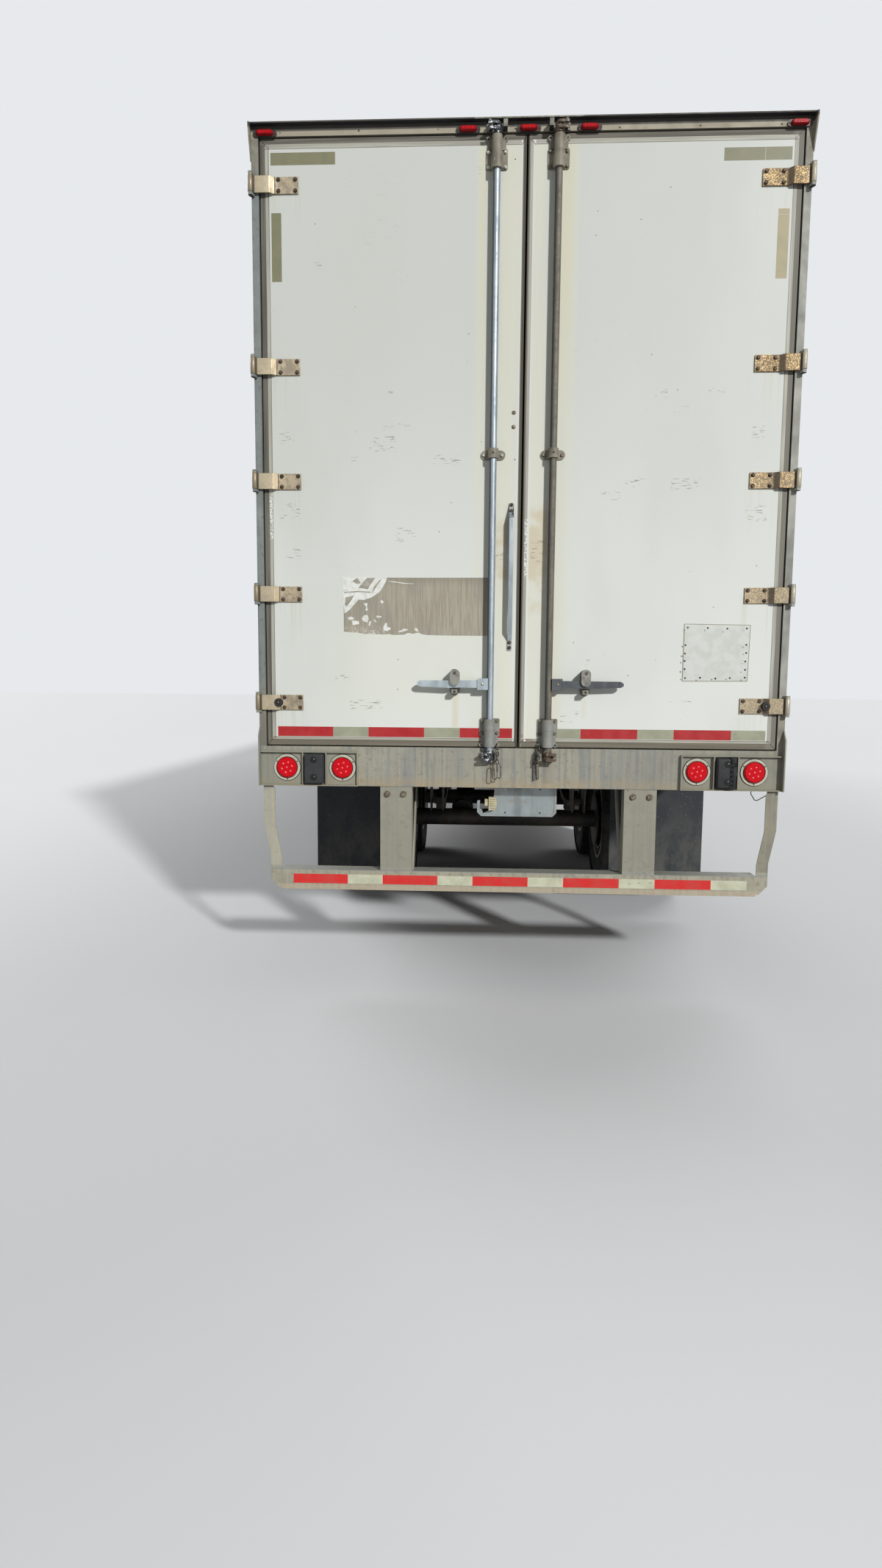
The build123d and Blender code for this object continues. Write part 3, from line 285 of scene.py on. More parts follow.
def wall_white():
    """White composite side and front plates: grimy at the foot, faint runs under the top rail."""
    fin = Finish("wall_white", rough=0.3, coat=0.2)
    runs = vertical(fin, 9, 0.35)
    fin.base(fin.ramp(fin.noise(0.6, 3), 0.35, 0.7), (230, 233, 228), (217, 221, 214))
    top = fin.times(fin.ramp(fin.z, 2.9, 4.0), fin.ramp(runs, 0.46, 0.66))
    foot = fin.times(fin.ramp(fin.z, 1.95, 1.25), fin.ramp(fin.noise((3, 3, 1.2), 4), 0.34, 0.72))
    fin.over(top, (186, 188, 176), 0.35)
    fin.over(foot, (178, 172, 152), 0.5)
    fin.over(fin.specks(9, 0.16, 0.05), (110, 104, 92), 0.6)
    fin.gloss(fin.ramp(runs, 0.3, 0.7, 0.24, 0.42))
    return fin.bump(fin.noise((1.3, 1.3, 0.8), 2), 0.004, 0.3)


def weathered(name, colours, rough, metal, fine, shift=0.0):
    """Galvanised or mill metal: a base, darker runs, pale blooms and fine grime, in that order in colours."""
    base, run, bloom, grime = colours
    fin = Finish(name, rough, metal)
    runs = vertical(fin, fine, 1.1, shift)
    fin.base(fin.ramp(runs, 0.44, 0.66), base, run)
    fin.over(fin.ramp(fin.noise(5.5, 4, 0.6, shift + 2), 0.52, 0.72, 0, 0.75), bloom)
    fin.over(fin.ramp(fin.noise(38, 4, 0.65, shift + 7), 0.53, 0.68), grime, 0.5)
    fin.gloss(fin.ramp(fin.noise(18, 3, 0.5, shift), 0.3, 0.7, rough - 0.1, rough + 0.12))
    return fin.bump(fin.noise(90, 3, 0.6, shift), 0.0006, 0.4)


def sill_metal():
    """The sill's face: dusty beige with grey-blue runs of plain streaks, browner along its foot."""
    fin = weathered("sill_metal", ((160, 155, 137), (133, 135, 129), (172, 166, 146), (116, 108, 92)), 0.6, 0.15, 46)
    runs = fin.ramp(vertical(fin, 80, 1.2, 8), 0.36, 0.64)
    wide = fin.times(fin.ramp(fin.noise((2.6, 2.6, 0.4), 3, 0.5, 12), 0.42, 0.6), runs)
    fin.over(wide, (128, 134, 136), 0.6)
    foot = fin.times(fin.ramp(fin.z, 1.075, 1.02), fin.ramp(fin.noise((12, 12, 30), 3), 0.3, 0.6))
    fin.over(foot, (166, 148, 116), 0.65)
    fin.over(fin.most(*(fin.patch(x + 4, 1105, 16, 60, 22) for x in ROD_X.values())), (124, 110, 90), 0.25)
    boxes = fin.times(fin.ramp(fin.out, 0.80, 0.81), fin.ramp(fin.z, 1.20, 1.19))
    fin.over(boxes, (138, 138, 122), 0.6)
    fin.over(fin.ramp(fin.x, 0.2, 0.7), (122, 120, 108), 0.3)
    prongs(fin)
    return fin


def frame_metal():
    """The rear frame: beige on the header, grey-blue galvanised posts, painted shade in the door recess and on the
    hood's underside, and a painted hood shadow along the header's top.
    """
    colours = ((124, 131, 128), (106, 110, 106), (142, 147, 142), (98, 94, 84))
    fin = weathered("frame_metal", colours, 0.66, 0.12, 30, 3.0)
    right = fin.mix(fin.ramp(fin.noise((8, 8, 3), 4), 0.4, 0.6), (164, 163, 153), (136, 136, 128))
    fin.over(fin.ramp(fin.x, 1.2, 1.25), right, 0.9)
    warm = fin.mix(fin.ramp(fin.noise(9, 4), 0.4, 0.6), (150, 145, 128), (120, 114, 99))
    fin.over(fin.most(fin.ramp(fin.z, 1.62, 1.32), fin.ramp(fin.z, 3.86, 3.94)), warm, 0.75)
    header = fin.mix(fin.ramp(fin.noise((0.9, 14, 14), 4, 0.6, 20), 0.4, 0.65), (164, 156, 137), (146, 139, 122))
    # Painted shadow: a dark band along the top of the header, where the hood casts its shadow.
    header = fin.mix(fin.times(fin.ramp(fin.z, 4.083, 4.089), 0.9), header, (52, 50, 48))
    fin.over(fin.ramp(fin.z, 4.05, 4.058), header)
    # Painted shade: faces set back from the rear face, inside the posts, are darkened as if in the recess's shade.
    fin.over(fin.times(fin.ramp(fin.y, REAR + 0.001, REAR + 0.006), fin.below(fin.out, 1.266)), (92, 89, 80), 0.75)
    fin.over(fin.ramp(fin.noise(11, 5, 0.65, 31), 0.62, 0.72), (122, 92, 62), 0.45)
    prongs(fin)
    # Painted shade: the downward faces under the hood are near black, as if unlit.
    hood = fin.times(fin.below(fin.facing(2), -0.5), fin.below(fin.y, REAR - 0.001))
    fin.over(hood, (34, 35, 38))
    return fin


def guard_metal():
    """The rear guard: a dusty sand colour with thin runs, greyer and barer along its upper edges, painted light on the
    left struts and painted shade on the right ones.
    """
    colours = ((163, 158, 139), (146, 144, 130), (176, 170, 150), (118, 106, 86))
    fin = weathered("guard_metal", colours, 0.62, 0.1, 60, 5.0)
    fin.over(fin.times(fin.ramp(fin.z, 0.582, 0.60), fin.below(fin.out, 0.70)), (136, 136, 124), 0.6)
    fin.over(fin.times(fin.ramp(fin.z, 0.508, 0.498), fin.below(fin.z, 0.6)), (190, 174, 148), 0.5)
    bare = fin.times(fin.near(fin.z, 0.579, 0.004, 0.012), fin.ramp(fin.z, 0.573, 0.5785))
    fin.over(bare, (140, 143, 140), 0.7)
    struts = fin.above(fin.z, 0.60)
    # Painted shade on the right struts and painted light on the left ones, as one side lit and the other shaded.
    fin.over(fin.times(struts, fin.ramp(fin.x, 0.9, 1.0), 0.45), (112, 108, 94))
    fin.over(fin.times(struts, fin.ramp(fin.x, -0.9, -1.0), 0.3), (204, 200, 182))
    fin.over(fin.specks(42, 0.14, 0.16, 2.0), (112, 84, 60), 0.6)
    return fin


def hinge_metal():
    """Yellow zinc plate: smooth and greyer on the left side, hammered dark with painted gold glints on the right, and
    painted highlights and shade at the bends.
    """
    fin = Finish("hinge_metal", rough=0.45, metal=0.35)
    right = fin.ramp(fin.x, -0.1, 0.1)
    patches = fin.noise((26, 26, 17), 4, 0.6)
    fin.base(fin.ramp(patches, 0.40, 0.60), (180, 165, 138), (142, 131, 112))
    fin.over(fin.ramp(fin.noise(70, 4, 0.65, 3), 0.55, 0.68, 0, 0.8), (124, 100, 72))
    fin.over(right, (104, 86, 62), 0.85)
    # Painted highlights: gold glints on the right hinges' hammered zinc, laid on as colour.
    glints = fin.times(fin.ramp(fin.noise(190, 3, 0.6, 9), 0.50, 0.58), right)
    fin.over(glints, (224, 190, 132), 0.85)
    fin.over(fin.times(fin.ramp(fin.z, 3.0, 1.6), right), (172, 162, 140), 0.6)
    fin.over(fin.times(fin.ramp(fin.out, 1.212, 1.216), fin.ramp(right, 0, 1, 0.5, 0)), (186, 174, 146))
    # Painted highlight: a pale band along the bend of the left hinges.
    fin.over(fin.times(fin.near(fin.out, 1.203, 0.009, 0.003), fin.ramp(right, 0, 1, 0.45, 0)), (186, 168, 132))
    # Painted shade: dark along the bend of the right hinges, and in a thin crease line at the bend's foot on both
    # sides.
    bend = fin.times(fin.near(fin.out, 1.202, 0.011, 0.003), fin.ramp(right, 0, 1, 0, 0.85))
    fin.over(fin.most(bend, fin.times(fin.near(fin.out, 1.189, 0.0025, 0.002), 0.7)), (76, 64, 50))
    fin.over(fin.ramp(fin.out, 1.284, 1.288), fin.mix(right, (128, 116, 96), (176, 170, 152)), 0.85)
    # Painted shade: a dark line where the strap meets the barrel.
    fin.over(fin.near(fin.out, 1.2845, 0.003, 0.0015), (66, 58, 48), 0.85)
    fin.gloss(fin.ramp(patches, 0.3, 0.7, 0.34, 0.55))
    fin.bump(glints, 0.0006, 0.5)
    return fin.bump(fin.noise(130, 3), 0.0005, 0.4)


def prongs(fin):
    """Bare, dull zinc on the keepers, which stand out from the frame beside the lock rods."""
    place = fin.times(fin.below(fin.y, REAR - 0.001), fin.below(fin.out, 0.25))
    fin.over(place, fin.mix(fin.ramp(fin.noise(60, 4), 0.4, 0.62), (140, 138, 124), (112, 110, 100)))


def tube_metal(name, colours, rough, metal, cam, glint):
    """A lock rod's or handle's zinc skin: faint bands, small spangles, painted shade on its faces that look left, and a
    dark cam with painted glints at each end.
    """
    low, high, spot, shade = colours
    fin = Finish(name, rough, metal)
    fin.base(fin.ramp(fin.noise((30, 30, 6), 4), 0.36, 0.66), low, high)
    fin.over(fin.ramp(fin.noise(85, 4, 0.6, 5), 0.56, 0.7, 0, 0.25), spot)
    # Painted shade: faces that look left take the shade colour, as if turned away from the light.
    fin.over(fin.ramp(fin.facing(0), -0.2, -0.75), shade, 0.95)
    ends = fin.most(fin.ramp(fin.z, 1.205, 1.195), fin.ramp(fin.z, 4.030, 4.040))
    # Painted highlights: glints on the dark cams at each end.
    glints = fin.ramp(fin.noise(75, 3, 0.6, 8), 0.55, 0.62)
    fin.over(ends, fin.mix(glints, cam, glint))
    fin.gloss(fin.ramp(fin.noise(40, 3), 0.3, 0.7, rough - 0.08, rough + 0.14))
    return fin.bump(fin.noise(160, 2), 0.0003, 0.35)


def cast_metal():
    """Cast lock brackets: warm grey-brown with a sandy skin."""
    fin = Finish("cast_metal", rough=0.62, metal=0.1)
    fin.base(fin.ramp(fin.noise(14, 4), 0.38, 0.64), (136, 130, 115), (108, 102, 89))
    fin.over(fin.ramp(fin.noise(55, 4, 0.6, 4), 0.57, 0.7, 0, 0.8), (164, 158, 143))
    fin.over(fin.ramp(fin.z, 1.46, 1.3), (150, 155, 152), 0.55)
    catch = fin.times(fin.near(fin.out, 0.320, 0.03, 0.01), fin.near(fin.z, 1.54, 0.08, 0.02))
    fin.over(catch, fin.mix(fin.ramp(fin.noise(40, 4), 0.4, 0.6), (160, 160, 153), (118, 118, 114)), 0.65)
    fin.over(fin.disc(320, 1578, 8, 1.5), (62, 56, 48), 0.85)
    return fin.bump(fin.noise(220, 3), 0.0006, 0.5)


def aluminium(name="aluminium", base=(186, 187, 183), run=(160, 162, 158), rough=0.42, stain=0.7, metal=0.55):
    """Extruded rails: drawn fine along their length, chalky with age."""
    fin = Finish(name, rough, metal)
    drawn = fin.noise((90, 1.2, 90), 3)
    cloud = fin.noise((1.6, 1.6, 3.0), 4, 0.6)
    fin.base(fin.ramp(drawn, 0.35, 0.65), base, run)
    fin.over(fin.ramp(cloud, 0.5, 0.7, 0, stain), (134, 134, 126))
    fin.over(fin.specks(26, 0.12, 0.11), (90, 86, 78), 0.5)
    fin.gloss(fin.ramp(cloud, 0.3, 0.7, rough - 0.1, rough + 0.14))
    return fin.bump(drawn, 0.0004, 0.3)


def along_bars(fin, fine, long, top, foot):
    """Noise drawn out down the upright bars, and across the level ones, past the two heights top and foot."""
    level = fin.most(fin.ramp(fin.z, *top), fin.ramp(fin.z, *foot))
    upright, across = fin.noise((fine, fine, long), 4), fin.noise((long, fine, fine), 4)
    return fin.node("ShaderNodeMix", {0: level, 2: upright, 3: across}).outputs[0]


def door_edge():
    """The doors' aluminium edge: plain grey on its face, whiter where old sealant sticks, brown in the low corners."""
    fin = Finish("door_edge", rough=0.62, metal=0.15)
    runs = along_bars(fin, 60, 2.5, (4.010, 4.012), (1.258, 1.256))
    fin.base(fin.ramp(runs, 0.35, 0.65), (178, 176, 164), (154, 152, 141))
    sealant = fin.most(fin.patch(-1227, 2361, 9, 130, 12), fin.patch(22, 2185, 12, 130, 12))
    sealant = fin.times(sealant, fin.ramp(fin.noise(120, 3), 0.44, 0.56))
    fin.over(sealant, (226, 226, 220))
    low = fin.times(fin.ramp(fin.z, 1.30, 1.245), fin.ramp(fin.noise(26, 4, 0.6, 6), 0.4, 0.62))
    fin.over(low, (176, 166, 140), 0.5)
    corner = fin.times(fin.patch(34, 1250, 34, 12, 26), fin.ramp(fin.noise(60, 3), 0.4, 0.6))
    fin.over(corner, (124, 84, 62), 0.8)
    free = fin.times(fin.near(fin.x, -0.0150, 0.008, 0.0006), fin.ramp(runs, 0.3, 0.6, 0.85, 1.0))
    fin.over(free, (96, 92, 80))
    laminate = fin.most(fin.near(fin.x, -0.0270, 0.0035, 0.0005), fin.near(fin.x, 0.030, 0.005, 0.0005))
    fin.over(laminate, fin.mix(fin.ramp(fin.z, 1.3, 3.4), (222, 224, 216), (204, 206, 198)))
    line = fin.most(fin.near(fin.z, 4.0135, 0.0012, 0.0006), fin.near(fin.z, 1.2545, 0.0012, 0.0006))
    line = fin.times(line, fin.above(fin.out, 0.03))
    line = fin.most(line, fin.near(fin.out, 1.2185, 0.0012, 0.0006))
    fin.over(line, (100, 98, 90), 0.7)
    return fin.bump(runs, 0.0005, 0.3)


def rubber(name, colour, dust, share=0.5, rough=0.72, scale=8.0):
    """Rubber with settled dust."""
    fin = Finish(name, rough, specular=0.35)
    fin.base(fin.ramp(fin.noise(scale, 4, 0.6), 0.36, 0.68, 0, share), colour, dust)
    fin.over(fin.ramp(fin.noise(scale * 9, 3), 0.5, 0.72, 0, share * 0.5), dust)
    return fin.bump(fin.noise(170, 3), 0.0006, 0.45)


def seal_rubber():
    """The door seals: brown-grey with long dusty runs, and a dark band beside a pale line along their middle."""
    fin = Finish("seal_rubber", rough=0.75, specular=0.25)
    runs = along_bars(fin, 70, 1.6, (4.033, 4.035), (1.244, 1.242))
    fin.base(fin.ramp(runs, 0.34, 0.66), (92, 90, 82), (120, 117, 106))
    fin.over(fin.ramp(fin.z, 1.262, 1.235), (132, 124, 106), 0.5)
    fin.over(fin.ramp(fin.x, 1.2, 1.22), (140, 138, 128), 0.6)
    fin.over(fin.near(fin.x, 0.0100, 0.0025, 0.0005), (150, 148, 136))
    fin.over(fin.near(fin.x, -0.0055, 0.0125, 0.0005), (84, 80, 70))
    return fin.bump(runs, 0.001, 0.5)


def chassis(name="chassis_paint", base=(52, 52, 53), dust=(106, 101, 91), rust=(92, 62, 42), rust_share=0.35):
    """Black running-gear paint under road dust, with rust coming through."""
    fin = Finish(name, 0.6, 0.05)
    fin.base(fin.ramp(fin.noise(3.2, 4, 0.6), 0.38, 0.7), base, dust)
    fin.over(fin.ramp(fin.noise(16, 5, 0.65, 3), 0.56, 0.68, 0, rust_share), rust)
    fin.over(fin.specks(30, 0.2, 0.2, 6.0), (128, 122, 108), 0.5)
    return fin.bump(fin.noise(60, 4), 0.001, 0.4)


def wheel_paint():
    """White powder coat on the discs, with brake dust and rust at the hand holes and the nuts."""
    fin = Finish("wheel_paint", 0.45, coat=0.1)
    fin.base(fin.ramp(fin.noise(9, 4), 0.36, 0.7), (214, 214, 207), (176, 172, 158))
    fin.over(fin.ramp(fin.noise(28, 5, 0.65, 5), 0.56, 0.68, 0, 0.7), (128, 104, 78))
    return fin.bump(fin.noise(90, 3), 0.0006, 0.35)


def tape(name, colour, aged, cracks):
    """Retro-reflective tape: a fine cell pattern, a little faded, with nicks along it."""
    fin = Finish(name, 0.4, 0.0, 0.08, 0.3)
    cells = fin.cells(300)
    fin.base(fin.ramp(fin.noise(13, 4, 0.6), 0.36, 0.68), colour, aged)
    fin.over(fin.ramp(cells, 0.2, 0.75, 0, 0.22), aged)
    fin.over(fin.ramp(fin.noise((34, 34, 60), 4, 0.6, 2), 0.66, 0.7), (96, 88, 74), cracks)
    return fin.bump(cells, 0.0002, 0.35)


def glue_left():
    """The glue that a sticker left: grey-brown, brushed with fine runs, darker along its top."""
    fin = Finish("glue_left", 0.62)
    runs = fin.noise((150, 150, 7), 4, 0.65)
    fin.base(fin.ramp(runs, 0.36, 0.64), (150, 143, 126), (172, 165, 148))
    fin.over(fin.ramp(fin.noise((5, 5, 3), 3), 0.44, 0.66, 0, 0.6), (141, 138, 124))
    fin.over(fin.ramp(fin.z, 1.985, 2.046), (128, 122, 106), 0.5)
    frayed = fin.times(fin.ramp(fin.z, 1.818, 1.765), fin.near(fin.x, -0.77, 0.10, 0.03))
    frayed = fin.times(frayed, fin.ramp(fin.noise((90, 90, 150), 4, 0.6, 8), 0.48, 0.6))
    fin.over(frayed, (206, 204, 190))
    return fin.bump(runs, 0.0003, 0.4)


def old_film(name, colour, worn):
    """A sticker's torn film, chalky, with fine creases."""
    fin = Finish(name)
    fin.base(fin.ramp(fin.noise((40, 40, 55), 5, 0.65, 4), 0.42, 0.64), colour, worn)
    return fin.bump(fin.noise((70, 70, 110), 4), 0.0008, 0.5)


def lens(name, colour, deep):
    """A moulded lens: clear colour over a darker cellular inside."""
    fin = Finish(name, 0.3, 0.0, 0.05, 0.2)
    cells = fin.cells(190)
    fin.base(fin.ramp(cells, 0.15, 0.7), colour, deep)
    return fin.bump(cells, 0.0006, 0.3)


def plain_metal(name, colour, grime, rough=0.4, metal=0.6, scale=60.0):
    """Bolts, nuts, links and other small hardware."""
    fin = Finish(name, rough, metal)
    share = fin.ramp(fin.noise(scale, 4, 0.6), 0.38, 0.64)
    fin.base(share, colour, grime)
    fin.gloss(fin.ramp(share, 0, 1, rough, rough + 0.25))
    return fin.bump(fin.noise(scale * 5, 2), 0.0003, 0.4)


def moulded(name, colour, faded, rough=0.5):
    """Moulded plastic, chalky where the sun has faded it."""
    fin = Finish(name, rough)
    fin.base(fin.ramp(fin.noise(24, 4), 0.36, 0.66), colour, faded)
    return fin.bump(fin.noise(210, 2), 0.0003, 0.35)


def floor_wood():
    """Laminated hardwood strips along the floor, worn pale by pallets."""
    fin = Finish("floor_wood", 0.6)
    inputs = {"Vector": fin.stretched((32, 0.55, 0.001)), "Scale": 1.0}
    strips = fin.node("ShaderNodeTexVoronoi", inputs, distance="CHEBYCHEV").outputs["Color"]
    shade = fin.node("ShaderNodeSeparateColor", {0: strips}).outputs[0]
    grain = fin.noise((150, 3, 150), 4, 0.6)
    fin.base(fin.ramp(shade, 0, 1), (150, 108, 70), (186, 146, 102))
    fin.over(fin.ramp(grain, 0.4, 0.66, 0, 0.6), (118, 84, 56))
    fin.over(fin.ramp(fin.noise((6, 1, 1), 4), 0.5, 0.72, 0, 0.6), (142, 130, 112))
    return fin.bump(grain, 0.001, 0.4)


def mud_rubber():
    """Mud flaps: black rubber with dried splash rising from the foot."""
    fin = Finish("mud_rubber", 0.75, specular=0.3)
    splash = fin.times(fin.ramp(fin.z, 0.95, 0.30), fin.ramp(fin.noise((9, 9, 5), 5, 0.65), 0.36, 0.66))
    fin.base(fin.times(splash, 0.5), (52, 55, 58), (104, 102, 96))
    fin.over(fin.specks(40, 0.3, 0.2), (120, 114, 100), 0.5)
    return fin.bump(fin.noise(120, 3), 0.001, 0.5)


MATERIALS = {fin.name: fin.material for fin in (
    door_white(), wall_white(), sill_metal(), frame_metal(), guard_metal(), hinge_metal(), cast_metal(), aluminium(),
    door_edge(), seal_rubber(), mud_rubber(), chassis(), wheel_paint(), floor_wood(), glue_left(),
    # Each rod's and handle's colours: low, high, spangle and painted shade, then its cams' dark colour and painted
    # glint colour.
    tube_metal(
        "bright_rod", ((138, 147, 153), (164, 172, 177), (190, 196, 198), (60, 72, 84)),
        0.42, 0.55, (66, 68, 72), (216, 220, 220),
    ),
    tube_metal(
        "dull_rod", ((112, 106, 92), (94, 89, 78), (124, 118, 104), (50, 54, 58)),
        0.62, 0.2, (84, 70, 56), (136, 128, 112),
    ),
    tube_metal(
        "bright_handle", ((156, 166, 171), (178, 188, 193), (206, 212, 213), (96, 106, 116)),
        0.42, 0.5, (150, 156, 158), (200, 204, 204),
    ),
    tube_metal(
        "dull_handle", ((84, 88, 91), (68, 72, 75), (104, 107, 106), (50, 54, 60)),
        0.55, 0.3, (76, 80, 82), (104, 106, 105),
    ),
    aluminium("roof_skin", (196, 197, 196), (180, 182, 180), 0.78, 0.3, 0.05),
    rubber("bumper_rubber", (40, 42, 45), (70, 70, 70), 0.45),
    rubber("black_rubber", (30, 29, 29), (62, 58, 54), 0.4, 0.6, 20.0),
    rubber("tyre_rubber", (42, 42, 43), (92, 88, 80), 0.55, 0.8, 5.0),
    chassis("bogie_paint", (46, 45, 46), (98, 92, 82), (104, 68, 44), 0.5),
    chassis("leg_paint", (58, 58, 58), (112, 107, 97), (110, 74, 48), 0.3),
    plain_metal("hub_iron", (112, 108, 100), (78, 70, 60), 0.55, 0.3, 24),
    plain_metal("pin_steel", (120, 116, 108), (62, 56, 48), 0.35, 0.8, 30),
    chassis("greasy_plate", (40, 38, 36), (70, 64, 56), (96, 70, 48), 0.4),
    lens("red_lens", (224, 4, 26), (196, 0, 14)),
    lens("red_dot", (255, 150, 156), (250, 84, 98)),
    # The clearance lamps' lens: a darker copy of the red lens, painted shade as if under the hood's shadow.
    lens("marker_lens", (178, 6, 22), (146, 0, 12)),
    lens("amber_lens", (232, 140, 30), (196, 92, 12)),
    moulded("ring_plastic", (200, 196, 178), (178, 174, 156)),
    moulded("faded_plastic", (206, 198, 164), (178, 170, 138)),
    moulded("lamp_base", (40, 24, 26), (32, 28, 28), 0.4),
    weathered(
        "bracket_zinc", ((150, 158, 158), (132, 138, 138), (176, 182, 180), (150, 140, 116)), 0.42, 0.45, 18, 9.0,
    ),
    plain_metal("coupling_metal", (158, 158, 156), (112, 110, 106), 0.45, 0.7, 40),
    tape("tape_red", (170, 34, 38), (180, 52, 54), 0.3),
    tape("tape_white", (166, 168, 144), (152, 153, 131), 0.25),
    tape("guard_red", (216, 44, 42), (206, 66, 60), 0.4),
    tape("guard_white", (208, 210, 184), (188, 188, 162), 0.7),
    tape("tape_olive", (124, 125, 98), (134, 130, 103), 0.1),
    tape("tape_tan", (168, 156, 120), (156, 148, 114), 0.1),
    old_film("film_white", (232, 233, 227), (212, 213, 204)),
    old_film("film_grey", (150, 144, 130), (176, 172, 158)),
    plain_metal("dark_bolt", (92, 76, 60), (52, 44, 38), 0.5, 0.5, 80),
    plain_metal("bright_bolt", (196, 200, 190), (150, 150, 138), 0.3, 0.7, 80),
    plain_metal("old_bolt", (132, 124, 106), (96, 86, 70), 0.45, 0.5, 80),
    plain_metal("rivet_head", (182, 184, 180), (140, 140, 134), 0.4, 0.6, 60),
    rubber("shadow_dark", (8, 8, 8), (18, 16, 15), 0.3),
    plain_metal("chain_steel", (118, 112, 102), (52, 46, 40), 0.42, 0.6, 110),
    moulded("repair_plate", (214, 217, 210), (203, 206, 197), 0.36),
)}

# The nodes of the frame that wear each material. Doors, wheels and their tyres are alike on both sides
NODE_LOOKS = {
    "wall_white": "side_wall_left side_wall_right front_wall",
    "aluminium": "bottom_rails top_rails front_frame",
    "roof_skin": "roof",
    "floor_wood": "floor",
    "chassis_paint": "cross_members slider_rails air_tank",
    "greasy_plate": "coupler_plate",
    "pin_steel": "kingpin",
    "bogie_paint": "bogie_frame springs axles brake_chambers",
    "leg_paint": "landing_legs landing_crank",
    "frame_metal": "rear_frame",
    "sill_metal": "rear_sill",
    "guard_metal": "rear_guard",
    "bracket_zinc": "licence_bracket",
    "faded_plastic": "licence_lamp",
    "red_lens": "tail_lamps marker_lamps",
    "amber_lens": "side_lamps",
    "ring_plastic": "lamp_rings",
    "bumper_rubber": "dock_bumpers",
    "mud_rubber": "mud_flaps",
    "coupling_metal": "nose_couplings",
    "black_rubber": "lamp_lead",
    "door_white": "door_left_panel door_right_panel",
    "door_edge": "door_left_frame door_right_frame",
    "seal_rubber": "door_left_seal door_right_seal",
    "hinge_metal": "door_left_hinges door_right_hinges",
    "cast_metal": "door_left_brackets door_right_brackets",
    "bright_rod": "door_left_rod",
    "dull_rod": "door_right_rod",
    "bright_handle": "door_left_handle grab_handle",
    "dull_handle": "door_right_handle",
    "wheel_paint": " ".join(f"rims_{axle}_{name}" for axle in AXLES for name, _ in SIDES),
    "hub_iron": " ".join(f"hub_{axle}_{name}" for axle in AXLES for name, _ in SIDES),
    "tyre_rubber": " ".join(f"tyres_{axle}_{name}" for axle in AXLES for name, _ in SIDES),
}
for look, nodes in NODE_LOOKS.items():
    for node in nodes.split():
        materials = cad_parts[node].data.materials
        materials.clear()
        materials.append(MATERIALS[look])


# Mesh pieces


def around(radius, count, start=0.0):
    """Evenly spaced steps (across, up) round a circle."""
    turns = [start + math.tau * k / count for k in range(count)]
    return [(radius * math.cos(turn), radius * math.sin(turn)) for turn in turns]


def put(name, data):
    """A new object in the scene."""
    made = bpy.data.objects.new(name, data)
    bpy.context.scene.collection.objects.link(made)
    return made


